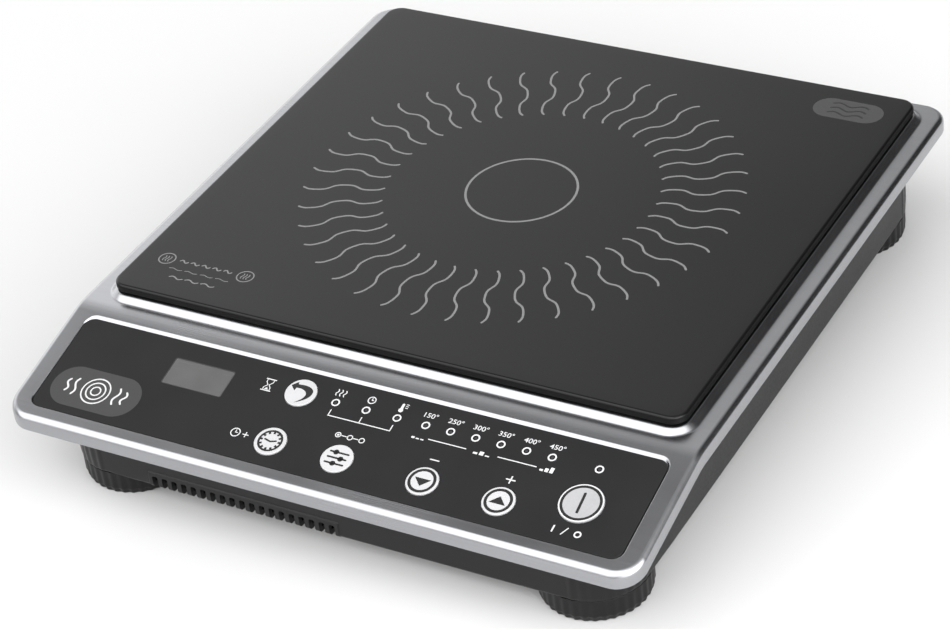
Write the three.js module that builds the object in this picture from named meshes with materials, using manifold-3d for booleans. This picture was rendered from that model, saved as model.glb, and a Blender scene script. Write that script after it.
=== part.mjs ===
// Countertop induction cooktop: ceramic glass plate on a pressed steel housing with a sloped
// control panel, black moulded base tray on four round ribbed feet.
// Millimetres, +Z up, +X to the user's right, front edge at -Y. The feet stand on z = 0.
import * as THREE from 'three';
import { mergeVertices } from 'three/addons/utils/BufferGeometryUtils.js';
import Module from 'manifold-3d';

const wasm = await Module();
wasm.setup();

// ---------- driving dimensions ----------
const WIDTH = 328, DEPTH = 364, HEIGHT = 72.5;   // overall
const Z_LEDGE = 64.9;          // flat ledge round the raised glass platform
const Z_FRONT = 48.3;          // top of the front rim
const Y_FRONT = -DEPTH / 2, Y_REAR = DEPTH / 2;
const Y_BEND = Y_FRONT + 69;   // where the ledge bends down into the control slope
const SLOPE = (Z_LEDGE - Z_FRONT) / (Y_BEND - Y_FRONT);
const ALPHA = Math.atan(SLOPE);
const SHEET = 1.2;             // sheet thickness
const SKIRT = 8;               // height of the folded rim
const R_PLAN = 13;             // plan corner radius of the housing
const GLASS_W = 301.5, GLASS_D = 275.5, GLASS_T = 4, GLASS_Y = 34, GLASS_R = 8;
const PLAT_TOP = 67.4, PLAT_FLARE = 3.4;
const OPEN_W = 268, OPEN_D = 242;               // opening under the glass
const BASE_X = 148.8, BASE_YF = Y_FRONT + 14.2, BASE_YR = 179.5, Z_BASE = 12.65, WALL = 2.5;
const COL_R = 27;              // round corner columns of the tray
const FOOT_R = 26.4, FOOT_H = 12.3;
const FEET = [[-121.8, -140.8], [121.8, -140.8], [-121.8, 152.5], [121.8, 152.5]];
const PANEL_W = 306, PANEL_V0 = 8.2, PANEL_V1 = 63.5, PANEL_R = 5, RECESS = 1.0;
const KEYS = [                 // name, across, up the slope, radius
  ['key_reset', -27.6, 51.0, 8.0], ['key_set_time', -27.6, 21.6, 8.0], ['key_function', 7.3, 21.6, 8.0],
  ['key_down', 51.0, 21.6, 7.9], ['key_up', 89.0, 21.6, 7.9], ['key_power', 124.7, 31.2, 10.6]];
const LEDS = [-9.0, 7.0, 23.1, 37.9, 50.6, 63.3, 76.0, 88.7, 101.4, 124.4], LED_V = 50.6;
const WINDOW = { u: -80.4, v: 45.5, w: 32.2, h: 15 };
const TRAVEL = 0.5;            // key travel
const VENTS = 19, VENT_X0 = -92.4, VENT_PITCH = 5.33, VENT_W = 3.0, VENT_TOP = 19.6;
const COIL_R = 88, COIL_Y = GLASS_Y;
const FAN = { x: -88, y: -88, s: 80, z0: 15.5, h: 25 };
const GLAND = { x: 100, z: 30, bore: 4.3 };
const POSTS = [[-138, -95], [138, -95], [-138, 120], [138, 120]];
const COIL_POSTS = [[-71, -37], [71, -37], [-71, 105], [71, 105]];

// ---------- helpers ----------
const solid = (geo) => {
  let g = geo.index ? geo.toNonIndexed() : geo.clone();
  g.deleteAttribute('normal'); g.deleteAttribute('uv');
  g = mergeVertices(g, 1e-4);
  return new wasm.Manifold(new wasm.Mesh({ numProp: 3,
    vertProperties: new Float32Array(g.attributes.position.array), triVerts: new Uint32Array(g.index.array) }));
};
const geometry = (man) => {
  const m = man.getMesh();
  const g = new THREE.BufferGeometry();
  g.setAttribute('position', new THREE.BufferAttribute(new Float32Array(m.vertProperties), 3));
  g.setIndex(new THREE.BufferAttribute(new Uint32Array(m.triVerts), 1));
  g.computeVertexNormals();
  return g;
};
const rrect = (w, h, r, cx = 0, cy = 0, n = 6) => {
  const p = [];
  for (const [sx, sy, a0] of [[1, -1, -90], [1, 1, 0], [-1, 1, 90], [-1, -1, 180]])
    for (let i = 0; i <= n; i++) {
      const a = (a0 + 90 * i / n) * Math.PI / 180;
      p.push(new THREE.Vector2(cx + sx * (w / 2 - r) + r * Math.cos(a), cy + sy * (h / 2 - r) + r * Math.sin(a)));
    }
  return p;
};
const circle = (r, n, cx = 0, cy = 0) =>
  Array.from({ length: n }, (_, i) => new THREE.Vector2(cx + r * Math.cos(2 * Math.PI * i / n), cy + r * Math.sin(2 * Math.PI * i / n)));
const prism = (pts, z0, z1, holes = []) => {
  const s = new THREE.Shape(pts);
  for (const h of holes) s.holes.push(new THREE.Path(h));
  return new THREE.ExtrudeGeometry(s, { depth: z1 - z0, bevelEnabled: false }).translate(0, 0, z0);
};
const bevelled = (pts, z0, z1, bt, bs, seg) =>
  new THREE.ExtrudeGeometry(new THREE.Shape(pts), { depth: z1 - z0 - 2 * bt, bevelEnabled: true, bevelThickness: bt,
    bevelSize: bs, bevelOffset: -bs, bevelSegments: seg }).translate(0, 0, z0 + bt);
const box = (x0, x1, y0, y1, z0, z1) =>
  new THREE.BoxGeometry(x1 - x0, y1 - y0, z1 - z0).translate((x0 + x1) / 2, (y0 + y1) / 2, (z0 + z1) / 2);
const cyl = (r, z0, z1, x = 0, y = 0, n = 20, r2 = r) =>
  new THREE.CylinderGeometry(r2, r, z1 - z0, n).rotateX(Math.PI / 2).translate(x, y, (z0 + z1) / 2);
const lathe = (prof, n, x = 0, y = 0) =>
  new THREE.LatheGeometry(prof.map(([r, z]) => new THREE.Vector2(r, z)), n).rotateX(Math.PI / 2).translate(x, y, 0);
// prism of a (y, z) outline running along x
const prismX = (yz, x0, x1) => {
  const s = new THREE.Shape(yz.map(([y, z]) => new THREE.Vector2(y, z)));
  const g = new THREE.ExtrudeGeometry(s, { depth: x1 - x0, bevelEnabled: false });
  return g.applyMatrix4(new THREE.Matrix4().set(0, 0, 1, x0, 1, 0, 0, 0, 0, 1, 0, 0, 0, 0, 0, 1));
};
const join = (...g) => g.map((x) => (x.isBufferGeometry ? solid(x) : x)).reduce((a, b) => a.add(b));
const cut = (a, ...g) => g.map((x) => (x.isBufferGeometry ? solid(x) : x)).reduce((m, b) => m.subtract(b), a.isBufferGeometry ? solid(a) : a);
const PANEL = new THREE.Matrix4().makeTranslation(0, Y_FRONT, Z_FRONT).multiply(new THREE.Matrix4().makeRotationX(ALPHA));
const onPanel = (geo) => geo.applyMatrix4(PANEL);
const top = (y) => (y < Y_BEND ? Z_LEDGE + (y - Y_BEND) * SLOPE : Z_LEDGE);

const root = new THREE.Group();
root.name = 'induction_cooktop';
const add = (name, shape, color, roughness = 0.6, metalness = 0, group = root) => {
  const geo = shape.isBufferGeometry ? shape : geometry(shape);
  const mesh = new THREE.Mesh(geo, new THREE.MeshStandardMaterial({ color, roughness, metalness }));
  mesh.name = name;
  group.add(mesh);
  return mesh;
};

// ---------- top housing: one pressed sheet, made flat and then bent down at the front ----------
{
  const outer = bevelled(rrect(WIDTH, DEPTH, R_PLAN, 0, 0, 6), Z_LEDGE - 30, Z_LEDGE, 3, 3, 3);
  const inner = bevelled(rrect(WIDTH - 2 * SHEET, DEPTH - 2 * SHEET, R_PLAN - SHEET, 0, 0, 6), Z_LEDGE - 40, Z_LEDGE - SHEET, 2, 2, 1);
  const flare = PLAT_TOP - Z_LEDGE + 3;
  const platO = bevelled(rrect(GLASS_W + 2 * PLAT_FLARE * flare / (PLAT_TOP - Z_LEDGE), GLASS_D + 2 * PLAT_FLARE * flare / (PLAT_TOP - Z_LEDGE),
    GLASS_R + PLAT_FLARE * 2, 0, GLASS_Y, 6), PLAT_TOP - 2 * flare - 1, PLAT_TOP, flare, PLAT_FLARE * flare / (PLAT_TOP - Z_LEDGE), 1);
  const platOuter = solid(platO).intersect(solid(box(-170, 170, -190, 190, Z_LEDGE - SHEET, 80)));
  const platI = solid(bevelled(rrect(GLASS_W + 2 * PLAT_FLARE * flare / (PLAT_TOP - Z_LEDGE) - 2.6, GLASS_D + 2 * PLAT_FLARE * flare / (PLAT_TOP - Z_LEDGE) - 2.6,
    GLASS_R + PLAT_FLARE * 2 - 1.3, 0, GLASS_Y, 6), PLAT_TOP - 2 * flare - 1 - SHEET, PLAT_TOP - SHEET, flare, PLAT_FLARE * flare / (PLAT_TOP - Z_LEDGE), 1))
    .intersect(solid(box(-170, 170, -190, 190, Z_LEDGE - SHEET - 2, 80)));
  let flat = join(outer, platOuter);
  flat = cut(flat, inner, platI);
  flat = flat.intersect(solid(box(-200, 200, -200, 200, Z_LEDGE - SKIRT, 90)));
  flat = flat.add(solid(prism(rrect(314, 60, 6, 0, Y_FRONT + 34.6, 3), Z_LEDGE - 2.6, Z_LEDGE - 0.9)));
  flat = cut(flat, prism(rrect(OPEN_W, OPEN_D, 20, 0, GLASS_Y, 5), 50, 90));
  const rear = flat.intersect(solid(box(-200, 200, Y_BEND, 200, 0, 100)));
  const front = flat.intersect(solid(box(-200, 200, -200, Y_BEND, 0, 100)));
  const g = geometry(front), a = g.attributes.position;
  for (let i = 0; i < a.count; i++) a.setZ(i, a.getZ(i) + (a.getY(i) - Y_BEND) * SLOPE);
  let shell = rear.add(solid(g));
  // recess for the control overlay, with holes for keys, lamps and display
  shell = cut(shell, onPanel(prism(rrect(PANEL_W + 1.2, PANEL_V1 - PANEL_V0 + 1.2, PANEL_R + 0.6, 0, (PANEL_V0 + PANEL_V1) / 2, 5), -RECESS, 8)));
  for (const [, u, v, r] of KEYS) shell = cut(shell, onPanel(cyl(r + 0.12, -6, 4, u, v, 22)));
  for (const u of LEDS) shell = cut(shell, onPanel(cyl(1.5, -6, 4, u, LED_V, 6)));
  shell = cut(shell, onPanel(prism(rrect(WINDOW.w + 0.6, WINDOW.h + 0.6, 1, WINDOW.u, WINDOW.v, 2), -6, 4)));
  // threaded bosses for the long housing screws
  for (const [x, y] of POSTS) {
    shell = shell.add(solid(cyl(3.5, 60, PLAT_TOP - 0.6, x, y, 10)));
    shell = cut(shell, cyl(1.9, 58, 65, x, y, 8));
  }
  add('top_housing', shell, 0xa6a8ab, 0.34, 1.0);
}

// ---------- glass plate and its silicone seal ----------
add('glass_top', bevelled(rrect(GLASS_W, GLASS_D, GLASS_R, 0, GLASS_Y, 8), HEIGHT - GLASS_T, HEIGHT, 0.7, 0.7, 2), 0x3d3c3f, 0.12, 0.0);
add('glass_seal', solid(prism(rrect(GLASS_W - 5, GLASS_D - 5, GLASS_R - 2, 0, GLASS_Y, 4), PLAT_TOP + 0.3, HEIGHT - GLASS_T - 0.3,
  [rrect(OPEN_W + 8, OPEN_D + 8, 18, 0, GLASS_Y, 4).reverse()])), 0x1b1b1d, 0.8);

// ---------- base tray ----------
const ribbed = (cx, cy, r, a0, a1, n, amp) => {
  const p = [];
  for (let i = 0; i <= n * 2; i++) {
    const a = (a0 + (a1 - a0) * i / (n * 2)) * Math.PI / 180;
    const rr = r - amp * (i % 2 === 0 ? 1 : 0);
    p.push(new THREE.Vector2(cx + rr * Math.cos(a), cy + rr * Math.sin(a)));
  }
  return p;
};
{
  const yf = BASE_YF + COL_R, yr = BASE_YR - COL_R, xc = BASE_X - COL_R;
  const outline = [...ribbed(xc, yf, COL_R, -90, 0, 9, 0.6), ...ribbed(xc, yr, COL_R, 0, 90, 9, 0.6),
    ...ribbed(-xc, yr, COL_R, 90, 180, 9, 0.6), ...ribbed(-xc, yf, COL_R, 180, 270, 9, 0.6)];
  let tray = solid(prism(outline, Z_BASE, 63.4));
  tray = cut(tray, prism(rrect(2 * (BASE_X - WALL), BASE_YR - BASE_YF - 2 * WALL, COL_R - WALL - 0.6, 0, (BASE_YF + BASE_YR) / 2, 6), Z_BASE + WALL, 80));
  tray = cut(tray, prismX([[-190, top(-190) - 6], [Y_BEND, Z_LEDGE - 6], [Y_BEND + 4, 62.6], [Y_REAR, 62.6], [Y_REAR, 100], [-190, 100]], -170, 170));
  // slightly proud grille band with slots that wrap under the front edge
  tray = tray.add(solid(box(VENT_X0 - 4, VENT_X0 + (VENTS - 1) * VENT_PITCH + 4, BASE_YF - 0.6, BASE_YF + 6, Z_BASE - 0.5, VENT_TOP + 2.2)));
  for (let i = 0; i < VENTS; i++) {
    const x = VENT_X0 + i * VENT_PITCH;
    tray = cut(tray, box(x - VENT_W / 2, x + VENT_W / 2, BASE_YF - 2, BASE_YF + 12, 10, VENT_TOP));
  }
  // exhaust slots in the rear wall
  for (let i = 0; i < 18; i++) {
    const x = -112 + i * 9.5;
    tray = cut(tray, box(x - 1.8, x + 1.8, BASE_YR - 5, BASE_YR + 2, 22, 46));
  }
  // air intake under the fan
  for (let i = -4; i <= 4; i++) {
    const l = Math.sqrt(35 * 35 - (i * 7.6) ** 2);
    tray = cut(tray, box(FAN.x + i * 7.6 - 1.9, FAN.x + i * 7.6 + 1.9, FAN.y - l, FAN.y + l, 8, 17));
  }
  // bosses for the feet
  for (const [x, y] of FEET) {
    tray = tray.add(solid(cyl(5.5, Z_BASE + 1, 20.5, x, y, 10)));
    tray = cut(tray, cyl(2.4, 10, 19, x, y, 8));
  }
  for (const [x, y] of POSTS) tray = cut(tray, cyl(2.2, 8, 17, x, y, 10));
  tray = cut(tray, solid(cyl(8.2, 170, 190, 0, 0, 20).rotateX(-Math.PI / 2).translate(GLAND.x, 0, GLAND.z)));
  add('base_tray', tray, 0x3a3a3c, 0.55);
}

// ---------- ribbed feet and their screws ----------
const screw = (rh, hh, rs, len, z, x, y) => lathe([[0, z], [rh, z], [rh, z + hh], [rs, z + hh], [rs, z + hh + len - rs * 0.6], [0, z + hh + len]], 10, x, y);
FEET.forEach(([x, y], i) => {
  const name = ['front_left', 'front_right', 'rear_left', 'rear_right'][i];
  const rim = ribbed(x, y, FOOT_R, 0, 360, 36, 0.7); rim.pop();
  add(`foot_${name}`, cut(prism(rim, 0, FOOT_H), cyl(7, -1, 6.5, x, y, 16), cyl(2.6, -1, 20, x, y, 10)), 0x2c2b2c, 0.75);
  add(`foot_screw_${name}`, screw(5, 2.6, 1.9, 12, 3.6, x, y), 0x9a9c9e, 0.4, 1);
});
POSTS.forEach(([x, y], i) => add(`housing_screw_${['front_left', 'front_right', 'rear_left', 'rear_right'][i]}`,
  screw(3.8, 2.0, 1.5, 52, 10.3, x, y), 0x8f9193, 0.4, 1));

// ---------- control panel ----------
{
  const holes = KEYS.map(([, u, v, r]) => circle(r + 0.12, 24, u, v).reverse());
  for (const u of LEDS) holes.push(circle(1.15, 8, u, LED_V).reverse());
  holes.push(rrect(WINDOW.w, WINDOW.h, 0.8, WINDOW.u, WINDOW.v, 2).reverse());
  add('control_overlay', solid(onPanel(prism(rrect(PANEL_W, PANEL_V1 - PANEL_V0, PANEL_R, 0, (PANEL_V0 + PANEL_V1) / 2, 5), -0.7, -0.2, holes))), 0x3c3c3e, 0.5);
  add('display_window', solid(onPanel(prism(rrect(WINDOW.w - 0.6, WINDOW.h - 0.6, 0.6, WINDOW.u, WINDOW.v, 2), -3.2, -0.25))), 0x757679, 0.2);
  add('display_module', solid(onPanel(box(WINDOW.u - 18, WINDOW.u + 18, WINDOW.v - 8.6, WINDOW.v + 8.6, -11.3, -3.6))), 0x26262a, 0.5);
  let guide = solid(box(-14, 129, LED_V - 3, LED_V + 3, -6, -3.2));
  for (const u of LEDS) guide = guide.add(solid(cyl(0.85, -4, -0.3, u, LED_V, 10)));
  add('led_light_guide', geometry(guide).applyMatrix4(PANEL), 0xdedede, 0.3);
  for (const [name, u, v, r] of KEYS) {
    const rc = r - 0.25;
    add(name, solid(onPanel(lathe([[0, -7.4], [2.6, -7.4], [2.6, -3.9], [r + 1.1, -3.9], [r + 1.1, -2.95], [rc, -2.95], [rc, 0.35], [0, 0.35]], 22, u, v))), 0xf0f0f1, 0.45);
    add(`switch_${name.slice(4)}`, geometry(join(box(u - 3, u + 3, v - 3, v + 3, -11.4, -8.9), cyl(1.6, -9.5, -8.2, u, v, 10))).applyMatrix4(PANEL), 0x2a2a2c, 0.5);
  }
  let board = solid(box(-104, 129, 16.8, 61, -13.3, -11.7));
  for (const [u, v] of [[-100, 20.5], [-100, 57], [108, 20.5], [120, 57.5]]) board = board.add(solid(cyl(2.5, -12.5, -3, u, v, 8)));
  add('control_board', geometry(board).applyMatrix4(PANEL), 0x2f6b3f, 0.6);
}

// ---------- induction coil assembly ----------
{
  let former = solid(cyl(90, 55, 57.4, 0, COIL_Y, 36));
  for (const [x, y] of COIL_POSTS) former = former.add(solid(cyl(4.5, Z_BASE + WALL + 0.3, 57.4, x, y, 10)));
  for (const [x, y] of COIL_POSTS) former = former.add(solid(new THREE.BoxGeometry(30, 11, 2.4).rotateZ(Math.atan2(y - COIL_Y, x)).translate(x * 0.88, COIL_Y + (y - COIL_Y) * 0.88, 56.2)));
  for (let i = 0; i < 6; i++) {
    const a = (i * 60 + 30) * Math.PI / 180;
    former = cut(former, cyl(9, 50, 60, 56 * Math.cos(a), COIL_Y + 56 * Math.sin(a), 12));
  }
  add('coil_former', former, 0x4a4a4c, 0.7);
  const prof = [[22, 57.8]];
  prof.push([COIL_R, 57.8]);
  const n = 4, step = (COIL_R - 22) / n;
  for (let i = 0; i < n; i++) prof.push([COIL_R - i * step, 62.6], [COIL_R - i * step - step * 0.72, 62.6], [COIL_R - i * step - step * 0.72, 61.6], [COIL_R - (i + 1) * step + 0.001, 61.6]);
  prof[prof.length - 1] = [22, 61.6];
  prof.push([22, 57.8]);
  add('induction_coil', solid(lathe(prof.map(([r, z]) => [r, z]), 30, 0, COIL_Y)), 0xb0682f, 0.45, 0.6);
  add('mica_sheet', solid(prism(circle(92, 36, 0, COIL_Y), 63.0, 63.8, [circle(12, 16, 0, COIL_Y).reverse()])), 0xc9b98a, 0.6);
  add('thermal_sensor', solid(lathe([[0, 57.8], [9, 57.8], [9, 59.5], [5, 59.5], [5, 67.6], [4.4, 68.15], [0, 68.15]], 16, 0, COIL_Y)), 0xcfcfcf, 0.5);
  for (let i = 0; i < 6; i++) {
    const a = i * Math.PI / 3;
    add(`ferrite_${i + 1}`, new THREE.BoxGeometry(56, 13, 4.5).rotateZ(a).translate(54 * Math.cos(a), COIL_Y + 54 * Math.sin(a), 52.4), 0x2d2c2e, 0.85);
  }
}

// ---------- power electronics ----------
{
  let pcb = solid(box(-29, 131, -111, -45, 22, 23.6));
  for (const [x, y] of [[-24, -107], [126, -107], [-24, -49], [126, -49]]) pcb = pcb.add(solid(cyl(3, Z_BASE + WALL + 0.3, 22.8, x, y, 8)));
  add('power_board', pcb, 0x2f6b3f, 0.6);
}
{
  let hs = solid(box(-24, 40, -106, -68, 24, 28));
  for (let i = 0; i < 9; i++) hs = hs.add(solid(box(-24, 40, -106 + i * 4.5, -104.2 + i * 4.5, 27, 47)));
  add('heatsink', hs, 0xb9bbbd, 0.45, 1);
}
add('igbt', box(44, 60, -104, -99, 24, 44), 0x202022, 0.5);
add('bridge_rectifier', box(44, 72, -93, -88, 24, 42), 0x202022, 0.5);
add('resonant_capacitor', box(78, 118, -82, -60, 24, 48), 0xc9c24a, 0.5);
add('filter_capacitor', box(82, 118, -107, -92, 24, 46), 0xc9c24a, 0.5);
add('choke_toroid', solid(lathe([[4.5, 24.2], [10.5, 24.2], [10.5, 35], [4.5, 35], [4.5, 24.2]], 16, 66, -68)), 0x7a4a22, 0.5, 0.3);
add('fuse', solid(new THREE.CylinderGeometry(2.6, 2.6, 20, 12).rotateZ(Math.PI / 2).translate(28, -54, 27)), 0xd8d8d4, 0.3);
add('terminal_block', box(86, 114, 140, 158, 15.5, 30), 0xe6e4dc, 0.5);

// ---------- fan ----------
{
  const { x, y, s, z0, h } = FAN;
  let frame = cut(prism(rrect(s, s, 6, x, y, 3), z0, z0 + h), cyl(s / 2 - 2.5, z0 - 2, z0 + h + 2, x, y, 36));
  for (let i = 0; i < 4; i++) frame = frame.add(solid(new THREE.BoxGeometry(29, 3, 2.5).translate(25, 0, 0).rotateZ(i * Math.PI / 2 + Math.PI / 4).translate(x, y, z0 + 1.25)));
  frame = frame.add(solid(cyl(14, z0, z0 + 2.5, x, y, 24)));
  add('fan_frame', frame, 0x232325, 0.6);
  let rotor = solid(cyl(13.5, z0 + 3.2, z0 + h - 2, x, y, 28));
  for (let i = 0; i < 7; i++)
    rotor = rotor.add(solid(new THREE.BoxGeometry(24.4, 1.6, 22).rotateX(0.72).translate(24.2, 0, 0).rotateZ(i * 2 * Math.PI / 7).translate(x, y, z0 + 13)));
  rotor = rotor.intersect(solid(cyl(s / 2 - 3.7, z0 + 3.2, z0 + h - 1.5, x, y, 36)));
  add('fan_rotor', rotor, 0x1e1e20, 0.55);
}

// ---------- mains inlet gland, leads and ribbon ----------
add('cord_gland', solid(lathe([[GLAND.bore, 166], [7.7, 166], [7.7, 179.8], [11.5, 179.8], [11.5, 181.4], [10.9, 181.9], [GLAND.bore, 181.9], [GLAND.bore, 166]], 24)
  .rotateX(-Math.PI / 2).translate(GLAND.x, 0, GLAND.z)), 0x1f1f21, 0.7);
const tube = (pts, r, steps, n = 6) => {
  const path = new THREE.CatmullRomCurve3(pts.map((p) => new THREE.Vector3(...p)));
  return new THREE.ExtrudeGeometry(new THREE.Shape(circle(r, n)), { steps, extrudePath: path, bevelEnabled: false });
};
add('coil_lead_a', solid(tube([[48, -44.5, 60], [50, -50, 57], [51, -53, 44], [50.5, -54.5, 27.5], [50.5, -54.5, 24]], 2.0, 12)), 0xa0202a, 0.5);
add('coil_lead_b', solid(tube([[38, -48.5, 60], [41, -54, 57], [43, -55, 44], [43, -56, 27.5], [43, -56, 24]], 2.0, 12)), 0x22304e, 0.5);
{
  const yz = [[-134, 42.5], [-130, 40.5], [-122, 32], [-114.5, 26.5], [-107.5, 24.6]];
  const outline = [...yz.map(([y, z]) => [y, z - 0.45]), ...yz.slice().reverse().map(([y, z]) => [y + 0.25, z + 0.45])];
  add('ribbon_cable', solid(prismX(outline, -42, -31)), 0x9a9a9c, 0.6);
}

export default root;
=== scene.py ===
import math

import bmesh
import bpy
import numpy as np
from mathutils import Matrix, Vector
from mathutils.geometry import delaunay_2d_cdt


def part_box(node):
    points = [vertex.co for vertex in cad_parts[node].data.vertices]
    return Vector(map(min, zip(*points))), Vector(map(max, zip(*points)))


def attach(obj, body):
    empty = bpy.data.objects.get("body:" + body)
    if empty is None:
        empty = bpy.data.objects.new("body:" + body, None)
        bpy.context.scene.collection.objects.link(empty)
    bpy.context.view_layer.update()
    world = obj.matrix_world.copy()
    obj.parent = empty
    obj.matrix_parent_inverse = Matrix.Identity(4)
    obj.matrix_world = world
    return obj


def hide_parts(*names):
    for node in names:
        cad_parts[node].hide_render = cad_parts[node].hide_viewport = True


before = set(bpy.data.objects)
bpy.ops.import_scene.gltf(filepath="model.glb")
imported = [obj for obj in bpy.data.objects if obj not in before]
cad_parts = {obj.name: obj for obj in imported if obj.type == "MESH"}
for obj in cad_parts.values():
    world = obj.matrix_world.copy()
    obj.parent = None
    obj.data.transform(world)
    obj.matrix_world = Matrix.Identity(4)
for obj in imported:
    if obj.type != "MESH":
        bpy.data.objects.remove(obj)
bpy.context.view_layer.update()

S = 0.001                                   # everything below is in millimetres until the mesh is made

# ------------------------------------------------------------------ frame dimensions (mm)
lo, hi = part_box("top_housing")
HX, HY = hi.x / S, hi.y / S                 # half width, half depth
Z_LEDGE, Z_FRONT, Y_BEND, SKIRT, SHEET, R_PLAN = 64.9, 48.3, -113.0, 8.0, 1.2, 13.0
SLOPE = (Z_LEDGE - Z_FRONT) / (Y_BEND + HY)
ALPHA = math.atan(SLOPE)
CA, SA = math.cos(ALPHA), math.sin(ALPHA)
glo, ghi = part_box("glass_top")
GX, GY, GCY = ghi.x / S, (ghi.y - glo.y) / 2 / S, (ghi.y + glo.y) / 2 / S
GZ0, GZ1 = glo.z / S, ghi.z / S
PLAT_TOP = 67.4
KEYS = [("key_reset", -27.6, 51.0, 8.0), ("key_set_time", -27.6, 21.6, 8.0), ("key_function", 7.3, 21.6, 8.0),
        ("key_down", 51.0, 21.6, 7.9), ("key_up", 89.0, 21.6, 7.9), ("key_power", 124.7, 31.2, 10.6)]
LEDS = [-9.0, 7.0, 23.1, 37.9, 50.6, 63.3, 76.0, 88.7, 101.4, 124.4]
LED_V = 50.6
WIN = (-80.4, 45.5, 32.2, 15.0)
PW, PV0, PV1, PR = 306.0, 8.2, 63.5, 5.0
FEET = [("front_left", -121.8, -140.8), ("front_right", 121.8, -140.8), ("rear_left", -121.8, 152.5), ("rear_right", 121.8, 152.5)]
POSTS = [("front_left", -138, -95), ("front_right", 138, -95), ("rear_left", -138, 120), ("rear_right", 138, 120)]


def topz(y, soft=4.0):
    """Height of the pressed top over y: level ledge, soft bend, straight control slope."""
    t = y - Y_BEND
    if t <= -soft:
        d = t
    elif t >= soft:
        d = 0.0
    else:
        d = -(t - soft) ** 2 / (4 * soft)
    return Z_LEDGE + SLOPE * d


def pan(u, v, w=0.0):
    """Panel frame (across, up the slope, out of it) to the object's frame."""
    return (u, -HY + v * CA - w * SA, Z_FRONT + v * SA + w * CA)


# ------------------------------------------------------------------ node helpers
class Mat:
    def __init__(self, name, base, rough, metal=0.0, **sockets):
        self.m = bpy.data.materials.new(name)
        self.m.use_nodes = True
        self.nt = self.m.node_tree
        self.b = next(n for n in self.nt.nodes if n.type == "BSDF_PRINCIPLED")
        self.set("Base Color", (*base, 1.0) if not hasattr(base, "node") else base)
        self.set("Roughness", rough)
        self.set("Metallic", metal)
        for k, v in sockets.items():
            self.set(k.replace("_", " "), v)
        self._tc = None

    def set(self, sock, v):
        if hasattr(v, "node"):
            self.nt.links.new(v, self.b.inputs[sock])
        else:
            self.b.inputs[sock].default_value = v

    def n(self, kind, **props):
        node = self.nt.nodes.new("ShaderNode" + kind)
        for k, v in props.items():
            setattr(node, k, v)
        return node

    def link(self, a, b):
        self.nt.links.new(a, b)

    def coord(self, which="Object"):
        if self._tc is None:
            self._tc = self.n("TexCoord")
        return self._tc.outputs[which]

    def mapping(self, vec, scale=(1, 1, 1), rot=(0, 0, 0)):
        mp = self.n("Mapping")
        self.link(vec, mp.inputs["Vector"])
        mp.inputs["Scale"].default_value = scale
        mp.inputs["Rotation"].default_value = rot
        return mp.outputs[0]

    def noise(self, vec, scale, detail=3.0, rough=0.5, dist=0.0):
        t = self.n("TexNoise")
        self.link(vec, t.inputs["Vector"])
        t.inputs["Scale"].default_value = scale
        t.inputs["Detail"].default_value = detail
        t.inputs["Roughness"].default_value = rough
        t.inputs["Distortion"].default_value = dist
        return t.outputs["Fac"]

    def voronoi(self, vec, scale, feature="F1", out="Distance"):
        t = self.n("TexVoronoi", feature=feature)
        self.link(vec, t.inputs["Vector"])
        t.inputs["Scale"].default_value = scale
        return t.outputs[out]

    def rng(self, val, a, b, c, d):
        r = self.n("MapRange")
        self.link(val, r.inputs["Value"])
        for i, x in enumerate((a, b, c, d)):
            r.inputs[1 + i].default_value = x
        return r.outputs[0]

    def ramp(self, fac, stops):
        r = self.n("ValToRGB")
        self.link(fac, r.inputs[0])
        e = r.color_ramp.elements
        while len(e) > 1:
            e.remove(e[-1])
        e[0].position, e[0].color = stops[0][0], (*stops[0][1], 1.0)
        for p, c in stops[1:]:
            x = e.new(p)
            x.color = (*c, 1.0)
        return r.outputs[0]

    def mix(self, fac, a, b):
        x = self.n("Mix", data_type="RGBA")
        for s, v in ((x.inputs[0], fac), (x.inputs[6], a), (x.inputs[7], b)):
            if hasattr(v, "node"):
                self.link(v, s)
            else:
                s.default_value = v if not isinstance(v, tuple) else (*v, 1.0)
        return x.outputs[2]

    def math(self, op, a, b=0.0):
        x = self.n("Math", operation=op)
        for s, v in ((x.inputs[0], a), (x.inputs[1], b)):
            if hasattr(v, "node"):
                self.link(v, s)
            else:
                s.default_value = v
        return x.outputs[0]

    def bump(self, height, strength, dist):
        x = self.n("Bump")
        x.inputs["Strength"].default_value = strength
        x.inputs["Distance"].default_value = dist
        self.link(height, x.inputs["Height"])
        self.set("Normal", x.outputs[0])
        return self


def grey(v, warm=0.0):
    """sRGB 0-255 grey to linear, with a slight warm or cool cast."""
    c = v / 255.0
    c = c / 12.92 if c <= 0.04045 else ((c + 0.055) / 1.055) ** 2.4
    return (c * (1 + warm), c, c * (1 - warm))


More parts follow.
